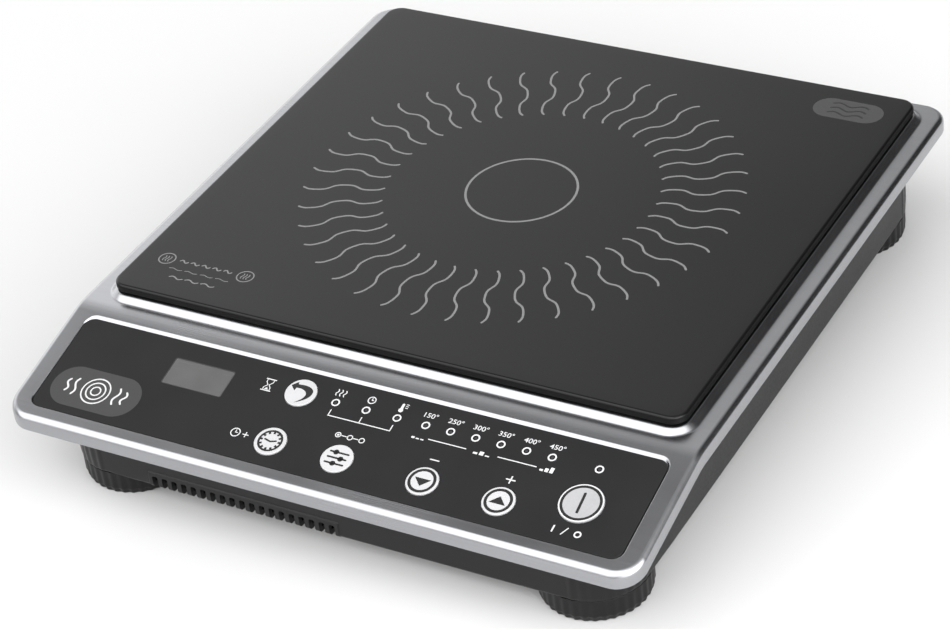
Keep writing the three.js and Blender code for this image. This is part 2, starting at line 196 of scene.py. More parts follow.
# ------------------------------------------------------------------ materials
def make_steel(name, base=(0.384, 0.388, 0.403), rough=0.235, aniso=0.5, uv=True):
    """Brushed stainless sheet: long fine scratches along the sheet's grain, smudges, slight waviness."""
    m = Mat(name, base, rough, 1.0)
    vec = m.coord("UV") if uv else m.coord("Object")
    k = 1.0 if uv else 10.0
    fine = m.noise(m.mapping(vec, (1.1 * k, 240 * k, 1)), 4.0, 5.0, 0.62)
    mid = m.noise(m.mapping(vec, (0.5 * k, 60 * k, 1)), 4.0, 3.0, 0.5)
    long = m.noise(m.mapping(vec, (0.15 * k, 22 * k, 1)), 3.0, 2.0, 0.5)
    smudge = m.noise(m.coord("Object"), 16.0, 3.0, 0.55)
    grain = m.math("ADD", m.math("MULTIPLY", fine, 0.6), m.math("MULTIPLY", mid, 0.4))
    tone = m.math("ADD", m.math("MULTIPLY", grain, 0.75), m.math("MULTIPLY", long, 0.25))
    sheet = m.ramp(tone, [(0.30, tuple(c * 0.89 for c in base)), (0.5, base), (0.70, tuple(min(1, c * 1.07) for c in base))])
    m.set("Base Color", sheet)
    m.set("Roughness", m.math("ADD", m.rng(grain, 0.3, 0.7, rough - 0.018, rough + 0.028), m.rng(smudge, 0.4, 0.7, -0.01, 0.03)))
    if uv:
        tg = m.n("Tangent", direction_type="UV_MAP")
        m.set("Tangent", tg.outputs[0])
        m.set("Anisotropic", aniso)
        m.set("Anisotropic Rotation", 0.25)
    return m.bump(grain, 0.022, 0.00005).m


def make_plastic(name, base, rough=0.42, tex=0.12, scale=900.0, ior=1.5, wear=0.35):
    """Moulded plastic: fine spark-eroded texture, slight blotchiness, a little dust in the roughness."""
    m = Mat(name, base, rough, 0.0, IOR=ior)
    vec = m.coord("Object")
    pit = m.noise(vec, scale, 3.0, 0.6)
    cell = m.voronoi(vec, scale * 0.8)
    blot = m.noise(vec, 22.0, 4.0, 0.6)
    m.set("Base Color", m.ramp(blot, [(0.3, tuple(c * (1 - 0.25 * wear) for c in base)), (0.55, base), (0.8, tuple(c * (1 + 0.5 * wear) for c in base))]))
    m.set("Roughness", m.math("ADD", m.rng(pit, 0.3, 0.7, rough - 0.05, rough + 0.06), m.rng(blot, 0.35, 0.75, -0.02, 0.05)))
    return m.bump(m.math("ADD", pit, m.math("MULTIPLY", cell, 0.5)), tex, 0.00008).m


def make_glass():
    """Black glass ceramic: polished top with faint tone drift, wipe marks and hairline scratches; ground side edge."""
    m = Mat("black_glass_ceramic", (0.005, 0.005, 0.0052), 0.14, 0.0, IOR=1.32)
    vec = m.coord("Object")
    drift = m.noise(vec, 5.0, 2.0, 0.5)
    speck = m.noise(vec, 2600.0, 2.0, 0.5)
    wipe = m.noise(m.mapping(vec, (2.0, 26.0, 1.0), (0, 0, 0.5)), 6.0, 4.0, 0.6)
    hair = m.noise(m.mapping(vec, (4.0, 900.0, 1.0), (0, 0, -0.9)), 3.0, 2.0, 0.5)
    sep = m.n("SeparateXYZ")
    m.link(vec, sep.inputs[0])
    edge = m.rng(sep.outputs["Z"], (GZ1 - 1.0) * S, (GZ1 - 0.45) * S, 1.0, 0.0)
    grind = m.noise(m.mapping(vec, (1.0, 1.0, 9.0)), 900.0, 3.0, 0.6)
    tone = m.math("ADD", m.math("MULTIPLY", drift, 0.6), m.math("MULTIPLY", speck, 0.4))
    top = m.ramp(tone, [(0.3, (0.0038, 0.0038, 0.0040)), (0.6, (0.0060, 0.0060, 0.0062))])
    side = m.ramp(grind, [(0.3, (0.003, 0.003, 0.0031)), (0.7, (0.0055, 0.0054, 0.0055))])
    m.set("Base Color", m.mix(edge, top, side))
    polished = m.math("ADD", m.rng(wipe, 0.35, 0.75, 0.10, 0.17), m.rng(hair, 0.66, 0.74, 0.0, 0.05))
    ground = m.rng(grind, 0.3, 0.7, 0.40, 0.52)
    m.set("Roughness", m.math("ADD", m.math("MULTIPLY", polished, m.math("SUBTRACT", 1.0, edge)), m.math("MULTIPLY", ground, edge)))
    m.set("Specular IOR Level", m.rng(edge, 0.0, 1.0, 0.5, 0.24))
    return m.bump(m.math("ADD", m.math("MULTIPLY", drift, 0.8), m.math("MULTIPLY", m.math("MULTIPLY", grind, edge), 0.2)), 0.03, 0.0004).m


def make_film():
    """Printed polyester overlay: very fine leatherette emboss, matt."""
    base = (0.017, 0.017, 0.018)
    m = Mat("overlay_polyester", base, 0.48, 0.0, IOR=1.31)
    vec = m.coord("Object")
    fine = m.noise(vec, 2200.0, 2.0, 0.6)
    blot = m.noise(vec, 30.0, 3.0, 0.55)
    m.set("Base Color", m.ramp(m.math("ADD", m.math("MULTIPLY", blot, 0.5), m.math("MULTIPLY", fine, 0.5)),
                               [(0.3, (0.0072, 0.0072, 0.0077)), (0.7, (0.0095, 0.0095, 0.0101))]))
    m.set("Roughness", m.rng(blot, 0.3, 0.7, 0.44, 0.53))
    return m.bump(fine, 0.10, 0.00003).m


def make_ink(name, base, rough=0.5):
    m = Mat(name, base, rough)
    vec = m.coord("Object")
    fine = m.noise(vec, 1800.0, 3.0, 0.6)
    m.set("Base Color", m.ramp(fine, [(0.25, tuple(c * 0.93 for c in base)), (0.6, base)]))
    m.set("Roughness", m.rng(fine, 0.3, 0.7, rough - 0.05, rough + 0.06))
    return m.bump(fine, 0.08, 0.00002).m


def make_cap(name, base, speckle=0.0):
    """Silk-finish moulded key cap."""
    m = Mat(name, base, 0.38, 0.0, IOR=1.5)
    vec = m.coord("Object")
    fine = m.noise(vec, 1300.0, 2.0, 0.6)
    blot = m.noise(vec, 60.0, 3.0, 0.5)
    m.set("Base Color", m.ramp(m.math("ADD", m.math("MULTIPLY", fine, 0.4 + speckle), m.math("MULTIPLY", blot, 0.6 - speckle)),
                               [(0.3, tuple(c * (0.94 - speckle * 0.3) for c in base)), (0.6, base)]))
    m.set("Roughness", m.rng(fine, 0.3, 0.7, 0.34, 0.45))
    return m.bump(fine, 0.06, 0.00004).m


def make_window():
    m = Mat("display_filter", grey(80), 0.20, 0.0, IOR=1.45)
    vec = m.coord("Object")
    blot = m.noise(vec, 70.0, 3.0, 0.5)
    scr = m.noise(m.mapping(vec, (5.0, 700.0, 60.0), (0, 0, 0.3)), 4.0, 2.0, 0.5)
    m.set("Base Color", m.ramp(blot, [(0.3, grey(78)), (0.7, grey(83))]))
    m.set("Roughness", m.math("ADD", m.rng(blot, 0.3, 0.7, 0.17, 0.24), m.rng(scr, 0.66, 0.74, 0.0, 0.08)))
    return m.bump(scr, 0.03, 0.00002).m


def make_rubber(name, base, rough=0.6, ior=1.5):
    m = Mat(name, base, rough, 0.0, IOR=ior)
    vec = m.coord("Object")
    bloom = m.noise(vec, 45.0, 5.0, 0.65)
    pit = m.noise(vec, 1500.0, 2.0, 0.6)
    m.set("Base Color", m.ramp(bloom, [(0.3, tuple(c * 0.85 for c in base)), (0.55, base), (0.8, tuple(c * 1.5 for c in base))]))
    m.set("Roughness", m.math("ADD", m.rng(bloom, 0.3, 0.75, rough - 0.08, rough + 0.06), m.rng(pit, 0.3, 0.7, -0.02, 0.03)))
    return m.bump(m.math("ADD", pit, m.math("MULTIPLY", bloom, 0.4)), 0.14, 0.00008).m


def make_plated():
    """Zinc-plated screw: turned metal with fine rings and a dull patch here and there."""
    m = Mat("zinc_plated_screw", (0.52, 0.52, 0.51), 0.32, 1.0)
    vec = m.coord("Object")
    fine = m.noise(vec, 1400.0, 3.0, 0.6)
    dull = m.noise(vec, 180.0, 4.0, 0.6)
    m.set("Base Color", m.ramp(dull, [(0.3, (0.42, 0.42, 0.41)), (0.6, (0.55, 0.55, 0.54))]))
    m.set("Roughness", m.math("ADD", m.rng(dull, 0.3, 0.7, 0.26, 0.42), m.rng(fine, 0.3, 0.7, -0.03, 0.03)))
    return m.bump(fine, 0.10, 0.00003).m


def make_board():
    """Circuit board: solder mask with tracks, pads and a fibre weave under it."""
    m = Mat("circuit_board_green", (0.02, 0.11, 0.05), 0.35)
    vec = m.coord("Object")
    br = m.n("TexBrick")
    m.link(m.mapping(vec, (1, 1, 1), (0, 0, 0.0)), br.inputs["Vector"])
    br.inputs["Scale"].default_value = 110.0
    br.inputs["Mortar Size"].default_value = 0.03
    br.inputs["Color1"].default_value = (0.015, 0.10, 0.045, 1)
    br.inputs["Color2"].default_value = (0.02, 0.13, 0.06, 1)
    br.inputs["Mortar"].default_value = (0.04, 0.20, 0.09, 1)
    pads = m.voronoi(vec, 260.0)
    pad = m.rng(pads, 0.10, 0.16, 1.0, 0.0)
    weave = m.noise(m.mapping(vec, (900, 900, 200)), 1.0, 2.0, 0.5)
    m.set("Base Color", m.mix(pad, br.outputs["Color"], (0.45, 0.42, 0.36)))
    m.set("Roughness", m.math("ADD", m.rng(weave, 0.3, 0.7, 0.28, 0.40), m.math("MULTIPLY", pad, 0.1)))
    return m.bump(m.math("ADD", pad, m.math("MULTIPLY", weave, 0.3)), 0.3, 0.00008).m


def make_winding():
    """Litz wire turns: concentric strands with a twisted lay and varnish sheen."""
    m = Mat("litz_winding", (0.42, 0.16, 0.055), 0.36, 0.55)
    vec = m.mapping(m.coord("Object"), (1, 1, 1))
    mp = vec.node
    mp.inputs["Location"].default_value = (0, -0.034, 0)
    w = m.n("TexWave", wave_type="RINGS", rings_direction="Z", wave_profile="SIN")
    m.link(vec, w.inputs["Vector"])
    w.inputs["Scale"].default_value = 85.0
    w.inputs["Distortion"].default_value = 0.25
    w.inputs["Detail"].default_value = 1.0
    fibre = m.noise(m.coord("Object"), 1500.0, 3.0, 0.6)
    m.set("Base Color", m.ramp(m.math("ADD", m.math("MULTIPLY", w.outputs["Fac"], 0.7), m.math("MULTIPLY", fibre, 0.3)),
                               [(0.15, (0.11, 0.035, 0.012)), (0.5, (0.42, 0.16, 0.055)), (0.85, (0.62, 0.30, 0.12))]))
    m.set("Roughness", m.rng(fibre, 0.3, 0.7, 0.28, 0.46))
    return m.bump(m.math("ADD", w.outputs["Fac"], m.math("MULTIPLY", fibre, 0.3)), 0.5, 0.0003).m


def make_mottled(name, a, b, rough, scale, strength=0.2, metal=0.0, dist=0.0001):
    m = Mat(name, a, rough, metal)
    vec = m.coord("Object")
    big = m.noise(vec, scale, 5.0, 0.6)
    fine = m.noise(vec, scale * 9, 3.0, 0.6)
    m.set("Base Color", m.ramp(m.math("ADD", m.math("MULTIPLY", big, 0.6), m.math("MULTIPLY", fine, 0.4)), [(0.32, a), (0.66, b)]))
    m.set("Roughness", m.rng(fine, 0.3, 0.7, rough - 0.07, rough + 0.07))
    return m.bump(fine, strength, dist).m


STEEL = make_steel("brushed_steel")
GLASS = make_glass()
FILM = make_film()
TRAY = make_plastic("tray_moulding", (0.0054, 0.0051, 0.0053), 0.34, 0.10, 1100.0, 1.36)
DARK = make_plastic("dark_moulding", (0.020, 0.020, 0.021), 0.5, 0.12, 1000.0)
WHITE_INK = make_ink("white_print", (0.51, 0.51, 0.515))
GREY_INK = make_ink("grey_print", grey(108), 0.42)
GREY_INK2 = make_ink("grey_plaque_print", grey(50), 0.42)
BADGE_INK = make_ink("slate_plaque_print", grey(47), 0.45)
DARK_INK = make_ink("dark_print", grey(12), 0.45)
CAP = make_cap("key_cap_white", (0.425, 0.425, 0.432))
CAP2 = make_cap("key_cap_silver", (0.312, 0.312, 0.320), 0.10)
WINDOW = make_window()
FOOT = make_rubber("foot_rubber_black", (0.0042, 0.0038, 0.0039), 0.44, 1.36)
SEAL = make_rubber("seal_silicone", (0.012, 0.012, 0.013), 0.55)
GLAND = make_rubber("gland_rubber_black", (0.016, 0.016, 0.017), 0.50)
SCREW = make_plated()
GUIDE = make_plastic("smoked_light_guide", (0.030, 0.030, 0.032), 0.22, 0.03, 700.0)
BOARD = make_board()
WINDING = make_winding()
MICA = make_mottled("mica_laminate", (0.42, 0.33, 0.16), (0.62, 0.54, 0.32), 0.38, 60.0)
CERAMIC = make_mottled("glazed_ceramic", (0.62, 0.61, 0.57), (0.78, 0.77, 0.73), 0.30, 120.0, 0.06)
FERRITE = make_mottled("sintered_ferrite", (0.018, 0.017, 0.019), (0.045, 0.044, 0.048), 0.72, 160.0, 0.35)
ALU = make_steel("extruded_aluminium", (0.66, 0.67, 0.68), 0.34, 0.0, uv=False)
CAPAC = make_mottled("capacitor_shell", (0.52, 0.42, 0.06), (0.66, 0.56, 0.12), 0.36, 90.0, 0.08)
LEAD_A = make_rubber("lead_sleeve_red", (0.33, 0.018, 0.022), 0.5)
LEAD_B = make_rubber("lead_sleeve_blue", (0.02, 0.035, 0.11), 0.5)
RIBBON = make_mottled("ribbon_insulation", (0.26, 0.26, 0.27), (0.36, 0.36, 0.37), 0.5, 140.0, 0.1)


# ------------------------------------------------------------------ mesh helpers
class MB:
    """A mesh under construction: points in millimetres with a flat (u, v) each, and faces."""

    def __init__(self):
        self.v, self.uv, self.f = [], [], []

    def add(self, p, uv=None):
        self.v.append(tuple(p))
        self.uv.append(uv if uv is not None else (p[0], p[1]))
        return len(self.v) - 1

    def loop(self, pts, uvs=None):
        return [self.add(p, uvs[i] if uvs else None) for i, p in enumerate(pts)]

    def loft(self, a, b, flip=False, closed=True):
        n = len(a)
        for i in range(n if closed else n - 1):
            j = (i + 1) % n
            q = (a[i], a[j], b[j], b[i])
            self.f.append(q[::-1] if flip else q)

    def fan(self, ring, centre, flip=False):
        n = len(ring)
        for i in range(n):
            t = (ring[i], ring[(i + 1) % n], centre)
            self.f.append(t[::-1] if flip else t)

    def fill(self, loops, lift, lines=(), flip=False, uvf=None):
        """Triangulates between loops[0] (outer) and the others (holes). loops: lists of (index, (x, y)).
        lines: pairs of (index, (x, y)) that must be edges. lift turns a flat point into a point in space."""
        pts, ids, edges = [], [], []
        for lp in loops:
            k = len(pts)
            for idx, p in lp:
                pts.append(Vector(p))
                ids.append(idx)
            edges += [(k + i, k + (i + 1) % len(lp)) for i in range(len(lp))]
        where = {i: k for k, i in enumerate(ids)}
        for (ia, pa), (ib, pb) in lines:
            for i, p in ((ia, pa), (ib, pb)):
                if i is None or i not in where:
                    raise ValueError("line ends lie on loops")
            edges.append((where[ia], where[ib]))
        vs, _, fs, ov, _, _ = delaunay_2d_cdt(pts, edges, [], 0, 1e-7, True)
        new = []
        for k, p in enumerate(vs):
            if ov[k]:
                new.append(ids[ov[k][0]])
            else:
                new.append(self.add(lift(p[0], p[1]), uvf(p[0], p[1]) if uvf else None))
        polys = [[p for _, p in lp] for lp in loops]
        for f in fs:
            c = ((vs[f[0]][0] + vs[f[1]][0] + vs[f[2]][0]) / 3, (vs[f[0]][1] + vs[f[1]][1] + vs[f[2]][1]) / 3)
            if inside(c, polys[0]) and not any(inside(c, h) for h in polys[1:]):
                t = tuple(new[i] for i in f)
                self.f.append(t[::-1] if flip else t)

    def make(self, name, mat, uvscale=0.01, solid=0.0, smooth=35.0, body="chassis", slot=None, offset=-1.0, weld=True, wn=True):
        me = bpy.data.meshes.new(name)
        me.from_pydata([(x * S, y * S, z * S) for x, y, z in self.v], [], self.f)
        ul = me.uv_layers.new(name="UVMap")
        li = np.zeros(len(me.loops), np.int32)
        me.loops.foreach_get("vertex_index", li)
        uv = np.array(self.uv, float)[li] * uvscale
        ul.data.foreach_set("uv", uv.astype(np.float32).ravel())
        ob = bpy.data.objects.new(name, me)
        bpy.context.scene.collection.objects.link(ob)
        if weld:
            bm = bmesh.new()
            bm.from_mesh(me)
            bmesh.ops.remove_doubles(bm, verts=bm.verts, dist=2e-6)
            bmesh.ops.dissolve_degenerate(bm, edges=bm.edges, dist=1e-6)
            if not solid:
                bmesh.ops.recalc_face_normals(bm, faces=bm.faces)
            bm.to_mesh(me)
            bm.free()
        if solid:
            md = ob.modifiers.new("wall", "SOLIDIFY")
            md.thickness = solid * S
            md.offset = offset
            md.use_even_offset = True
            md.use_quality_normals = True
            bake(ob)
        return dress(ob, mat, smooth, body, slot, wn)


def bake(ob):
    """Applies the modifiers to the mesh."""
    dg = bpy.context.evaluated_depsgraph_get()
    me = bpy.data.meshes.new_from_object(ob.evaluated_get(dg))
    old = ob.data
    ob.modifiers.clear()
    ob.data = me
    me.name = ob.name
    bpy.data.meshes.remove(old)
    return ob


def dress(ob, mat, smooth=35.0, body="chassis", slot=None, wn=True):
    me = ob.data
    me.materials.clear()
    me.materials.append(mat)
    me.shade_smooth()
    me.set_sharp_from_angle(angle=math.radians(smooth))
    if wn:
        md = ob.modifiers.new("face_weighted_normals", "WEIGHTED_NORMAL")
        md.keep_sharp = True
        md.weight = 60
    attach(ob, body)
    return ob


def inside(p, poly):
    x, y = p
    c, n = False, len(poly)
    j = n - 1
    for i in range(n):
        xi, yi = poly[i]
        xj, yj = poly[j]
        if (yi > y) != (yj > y) and x < (xj - xi) * (y - yi) / (yj - yi) + xi:
            c = not c
        j = i
    return c


def rrect(hx, hy, r, cx=0.0, cy=0.0, n=8, xs=(), ys=()):
    """Rounded rectangle, counter-clockwise from the bottom of the right side. Returns points and outward normals."""
    pts, nrm = [], []
    for k, (sx, sy, a0) in enumerate(((1, -1, -90), (1, 1, 0), (-1, 1, 90), (-1, -1, 180))):
        for i in range(n + 1):
            a = math.radians(a0 + 90 * i / n)
            pts.append((cx + sx * (hx - r) + r * math.cos(a), cy + sy * (hy - r) + r * math.sin(a)))
            nrm.append((math.cos(a), math.sin(a)))
        if k == 0:
            extra = [((cx + hx, y), (1, 0)) for y in sorted(ys)]
        elif k == 1:
            extra = [((x, cy + hy), (0, 1)) for x in sorted(xs, reverse=True)]
        elif k == 2:
            extra = [((cx - hx, y), (-1, 0)) for y in sorted(ys, reverse=True)]
        else:
            extra = [((x, cy - hy), (0, -1)) for x in sorted(xs)]
        for p, q in extra:
            pts.append(p)
            nrm.append(q)
    return pts, nrm


def circle(r, n, cx=0.0, cy=0.0):
    return [(cx + r * math.cos(2 * math.pi * i / n), cy + r * math.sin(2 * math.pi * i / n)) for i in range(n)]


def arc_pts(cx, cy, r, a0, a1, n):
    return [(cx + r * math.cos(math.radians(a0 + (a1 - a0) * i / n)), cy + r * math.sin(math.radians(a0 + (a1 - a0) * i / n))) for i in range(n + 1)]


def lathe(prof, n, place, name, mat, smooth=35.0, body="chassis", slot=None, wave=None, close=True):
    """Turned piece from a (radius, height) profile that starts and ends on the axis. place(x, y, z) puts it in space.
    wave(angle, k) changes the radius of profile point k."""
    mb = MB()
    rings = []
    for k, (r, z) in enumerate(prof):
        if r < 1e-6:
            rings.append(mb.add(place(0, 0, z), (0, z)))
        else:
            pts = []
            for i in range(n):
                a = 2 * math.pi * i / n
                rr = r + (wave(a, k) if wave else 0.0)
                pts.append(mb.add(place(rr * math.cos(a), rr * math.sin(a), z), (a * r, z)))
            rings.append(pts)
    for a, b in zip(rings, rings[1:]):
        if isinstance(a, int) and isinstance(b, int):
            continue
        if isinstance(a, int):
            mb.fan(b, a, flip=True)
        elif isinstance(b, int):
            mb.fan(a, b)
        else:
            mb.loft(a, b)
    if not isinstance(rings[0], int) and not isinstance(rings[-1], int) and close:
        mb.loft(rings[-1], rings[0])
    return mb.make(name, mat, smooth=smooth, body=body, slot=slot)


# ------------------------------------------------------------------ 1. top housing: pressed brushed sheet
def build_housing():
    mb = MB()
    bend = [Y_BEND + t for t in (-4, -3, -2, -1, 0, 1, 2, 3, 4)]
    xs = [-120 + 20 * i for i in range(13)]
    ys = bend + [-150, -80, -40, 0, 40, 80, 120, 150]
    N = 12
    prof = [(3.0, 0.0)]
    for i in range(1, 9):
        th = math.radians(90 - 90 * i / 8)
        prof.append((3 - 3 * math.cos(th), -3 + 3 * math.sin(th)))
    prof += [(0.0, -5.2), (0.0, -7.45), (0.1, -7.8), (0.35, -8.0)]
    base, nrm = rrect(HX - 3, HY - 3, R_PLAN - 3, 0, 0, N, xs, ys)
    s, rings = 0.0, []
    for k, (o, dz) in enumerate(prof):
        if k:
            s += math.hypot(prof[k][0] - prof[k - 1][0], prof[k][1] - prof[k - 1][1])
        pts, _ = rrect(HX - o, HY - o, R_PLAN - o, 0, 0, N, xs, ys)
        rings.append(mb.loop([(x, y, topz(y) + dz) for x, y in pts],
                             [(b[0] + q[0] * s, b[1] + q[1] * s) for b, q in zip(base, nrm)]))
    for a, b in zip(rings, rings[1:]):
        mb.loft(b, a)
    # platform under the glass: foot fillet, slope, soft top edge, flat flange, turned edge of the opening
    pp = [(4.7, 0.0), (4.2, 0.03), (3.75, 0.16), (3.3, 0.40), (2.2, 1.20), (1.1, 2.0), (0.7, 2.24), (0.25, 2.42), (-0.3, 2.5)]
    prings = []
    for d, dz in pp:
        pts, _ = rrect(GX + d, GY + d, 8 + d * 1.3, 0, GCY, 12, [], [])
        prings.append(mb.loop([(x, y, Z_LEDGE + dz) for x, y in pts], pts))
    for a, b in zip(prings, prings[1:]):
        mb.loft(a, b)
    op, _ = rrect(134, 121, 20, 0, GCY, 12)
    oring = mb.loop([(x, y, PLAT_TOP) for x, y in op], op)
    mb.loft(prings[-1], oring)
    # recess of the control panel
    rp = [(2.3, 0.0), (2.0, -0.02), (1.65, -0.12), (1.35, -0.29), (0.65, -0.83), (0.42, -0.95), (0.15, -1.0)]
    cv = (PV0 + PV1) / 2
    edge0 = list(zip(*rrect(PW / 2, (PV1 - PV0) / 2, PR, 0, cv, 10)))     # the wall leans back more at the rear than at the sides
    rrings, r2 = [], []
    for e, w in rp:
        pts = [(u + a * e * (0.45 * a * a + (1.0 if b > 0 else 0.3) * b * b), v + b * e * (0.45 * a * a + (1.0 if b > 0 else 0.3) * b * b)) for (u, v), (a, b) in edge0]
        sp = [pan(u, v, w) for u, v in pts]
        rrings.append(mb.loop(sp, [(p[0], p[1]) for p in sp]))
        r2.append(pts)
    for a, b in zip(rrings, rrings[1:]):
        mb.loft(a, b)
    # ledge between rim, platform and recess, with the soft bend across
    outer = [(i, (mb.v[i][0], mb.v[i][1])) for i in rings[0]]
    hole1 = [(i, (mb.v[i][0], mb.v[i][1])) for i in prings[0]]
    hole2 = [(i, (mb.v[i][0], mb.v[i][1])) for i in rrings[0]]
    lines = []
    for y in bend:
        a = next(o for o in outer if abs(o[1][1] - y) < 1e-6 and o[1][0] > 0)
        b = next(o for o in outer if abs(o[1][1] - y) < 1e-6 and o[1][0] < 0)
        lines.append((b, a))
    mb.fill([outer, hole1, hole2], lambda x, y: (x, y, topz(y)), lines)
    # recess floor with openings for keys, lamps and display
    loops = [[(i, p) for i, p in zip(rrings[-1], r2[-1])]]
    cuts = [circle(r + 0.45, 48, u, v) for _, u, v, r in KEYS] + [circle(1.5, 20, u, LED_V) for u in LEDS]
    cuts.append(rrect(WIN[2] / 2 + 0.3, WIN[3] / 2 + 0.3, 1.0, WIN[0], WIN[1], 4)[0])
    for c in cuts:
        sp = [pan(u, v, -1.0) for u, v in c]
        loops.append([(i, p) for i, p in zip(mb.loop(sp, [(p[0], p[1]) for p in sp]), c)])
    mb.fill(loops, lambda x, y: pan(x, y, -1.0))
    ob = mb.make("housing_skin", STEEL, solid=SHEET, smooth=50, slot="steel")
    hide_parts("top_housing")
    return ob


build_housing()


# ------------------------------------------------------------------ 2. glass plate
def build_glass():
    mb = MB()
    t, z0, z1 = GZ1 - GZ0 - 0.06, GZ0, GZ1 - 0.06
    prof = [(-6.0, z0), (-0.7, z0), (-0.25, z0 + 0.14), (0.0, z0 + 0.55), (0.0, z1 - 1.5), (-0.09, z1 - 1.02), (-0.32, z1 - 0.62),
            (-0.68, z1 - 0.30), (-1.15, z1 - 0.09), (-1.7, z1), (-8.0, z1)]
    rings = []
    for d, z in prof:
        pts, _ = rrect(GX + d, GY + d, max(8 + d, 0.6), 0, GCY, 14)
        rings.append(mb.loop([(x, y, z) for x, y in pts]))
    for a, b in zip(rings, rings[1:]):
        mb.loft(a, b)
    for ring, flip in ((rings[-1], False), (rings[0], True)):
        mb.fill([[(i, (mb.v[i][0], mb.v[i][1])) for i in ring]], lambda x, y: (x, y, 0), flip=flip)
    ob = mb.make("glass_plate", GLASS, smooth=40, slot="black_glass")
    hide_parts("glass_top")
    return ob


build_glass()


# ------------------------------------------------------------------ printed marks
class Print:
    """Flat printed marks a few hundredths of a millimetre thick, laid out in a flat frame."""

    def __init__(self, place, z0, z1):
        self.mb, self.place, self.z0, self.z1 = MB(), place, z0, z1

    def poly(self, outline, holes=()):
        mb = self.mb
        tops, bots, flat = [], [], []
        for lp in [outline, *holes]:
            a = sum(p[0] * q[1] - q[0] * p[1] for p, q in zip(lp, lp[1:] + lp[:1]))
            lp = list(lp) if a > 0 else list(lp)[::-1]
            t = mb.loop([self.place(x, y, self.z1) for x, y in lp])
            b = mb.loop([self.place(x, y, self.z0) for x, y in lp])
            mb.loft(b, t, flip=lp is not None and len(tops) > 0)
            tops.append([(i, p) for i, p in zip(t, lp)])
            bots.append([(i, p) for i, p in zip(b, lp)])
        mb.fill(tops, lambda x, y: self.place(x, y, self.z1))
        mb.fill(bots, lambda x, y: self.place(x, y, self.z0), flip=True)

    def disc(self, x, y, r, n=56):
        self.poly(circle(r, n, x, y))

    def ring(self, x, y, r1, r0, n=64):
        self.poly(circle(r1, n, x, y), [circle(r0, n, x, y)])

    def stadium(self, x, y, hx, hy):
        self.poly(rrect(hx, hy, hy * 0.999, x, y, 16)[0])

    def stroke(self, pts, w, cap=True, taper=None):
        """An open line of constant width with round ends."""
        n = len(pts)
        L, R = [], []
        for i, (x, y) in enumerate(pts):
            if i == 0:
                d = (pts[1][0] - x, pts[1][1] - y)
            elif i == n - 1:
                d = (x - pts[-2][0], y - pts[-2][1])
            else:
                a = Vector((x - pts[i - 1][0], y - pts[i - 1][1])).normalized()
                b = Vector((pts[i + 1][0] - x, pts[i + 1][1] - y)).normalized()
                d = a + b
            d = Vector(d).normalized()
            k = 1.0
            if 0 < i < n - 1:
                k = 1.0 / max(0.45, abs(a.dot(d)))
            h = (w if taper is None else taper(i / (n - 1)) * w) / 2 * k
            L.append((x - d.y * h, y + d.x * h))
            R.append((x + d.y * h, y - d.x * h))
        out = R[:]
        if cap:
            d = Vector((pts[-1][0] - pts[-2][0], pts[-1][1] - pts[-2][1])).normalized()
            a = math.degrees(math.atan2(d.y, d.x))
            h = w / 2 * (1 if taper is None else taper(1.0))
            out += arc_pts(*pts[-1], h, a - 90, a + 90, 8)[1:-1]
        out += L[::-1]
        if cap:
            d = Vector((pts[0][0] - pts[1][0], pts[0][1] - pts[1][1])).normalized()
            a = math.degrees(math.atan2(d.y, d.x))
            h = w / 2 * (1 if taper is None else taper(0.0))
            out += arc_pts(*pts[0], h, a - 90, a + 90, 8)[1:-1]
        self.poly(out)

    def text(self, body, x, y, height, bold=0.0, width=1.0):
        """Digits and simple signs set from the built-in typeface, centred on (x, y)."""
        cu = bpy.data.curves.new("digits", "FONT")
        cu.body, cu.size, cu.align_x, cu.align_y = body, 1.0, "LEFT", "BOTTOM_BASELINE"
        cu.resolution_u = 4
        cu.offset = bold
        ob = bpy.data.objects.new("digits", cu)
        bpy.context.scene.collection.objects.link(ob)
        dg = bpy.context.evaluated_depsgraph_get()
        dg.update()
        me = bpy.data.meshes.new_from_object(ob.evaluated_get(dg))
        co = [v.co.copy() for v in me.vertices]
        faces = [tuple(p.vertices) for p in me.polygons]
        edge_use = {}
        for f in faces:
            for i in range(len(f)):
                e = (f[i], f[(i + 1) % len(f)])
                edge_use[e] = edge_use.get(e, 0) + 1
        bpy.data.objects.remove(ob)
        bpy.data.curves.remove(cu)
        bpy.data.meshes.remove(me)
        if not co:
            return
        x0, x1 = min(c.x for c in co), max(c.x for c in co)
        y0, y1 = min(c.y for c in co), max(c.y for c in co)
        k = height / (y1 - y0)
        P = [(x + (c.x - (x0 + x1) / 2) * k * width, y + (c.y - (y0 + y1) / 2) * k) for c in co]
        mb = self.mb
        t = mb.loop([self.place(a, b, self.z1) for a, b in P])
        o = mb.loop([self.place(a, b, self.z0) for a, b in P])
        for f in faces:
            ar = sum(P[f[i]][0] * P[f[(i + 1) % len(f)]][1] - P[f[(i + 1) % len(f)]][0] * P[f[i]][1] for i in range(len(f)))
            g = f if ar > 0 else f[::-1]
            mb.f.append(tuple(t[i] for i in g))
            mb.f.append(tuple(o[i] for i in g[::-1]))
            for i in range(len(g)):
                a, b = g[i], g[(i + 1) % len(g)]
                if not (edge_use.get((b, a)) and edge_use.get((a, b))) and edge_use.get((b, a), 0) + edge_use.get((a, b), 0) == 1:
                    mb.f.append((o[a], o[b], t[b], t[a]))

    def make(self, name, mat, body="chassis", slot=None):
        return self.mb.make(name, mat, smooth=30, body=body, slot=slot, wn=False)


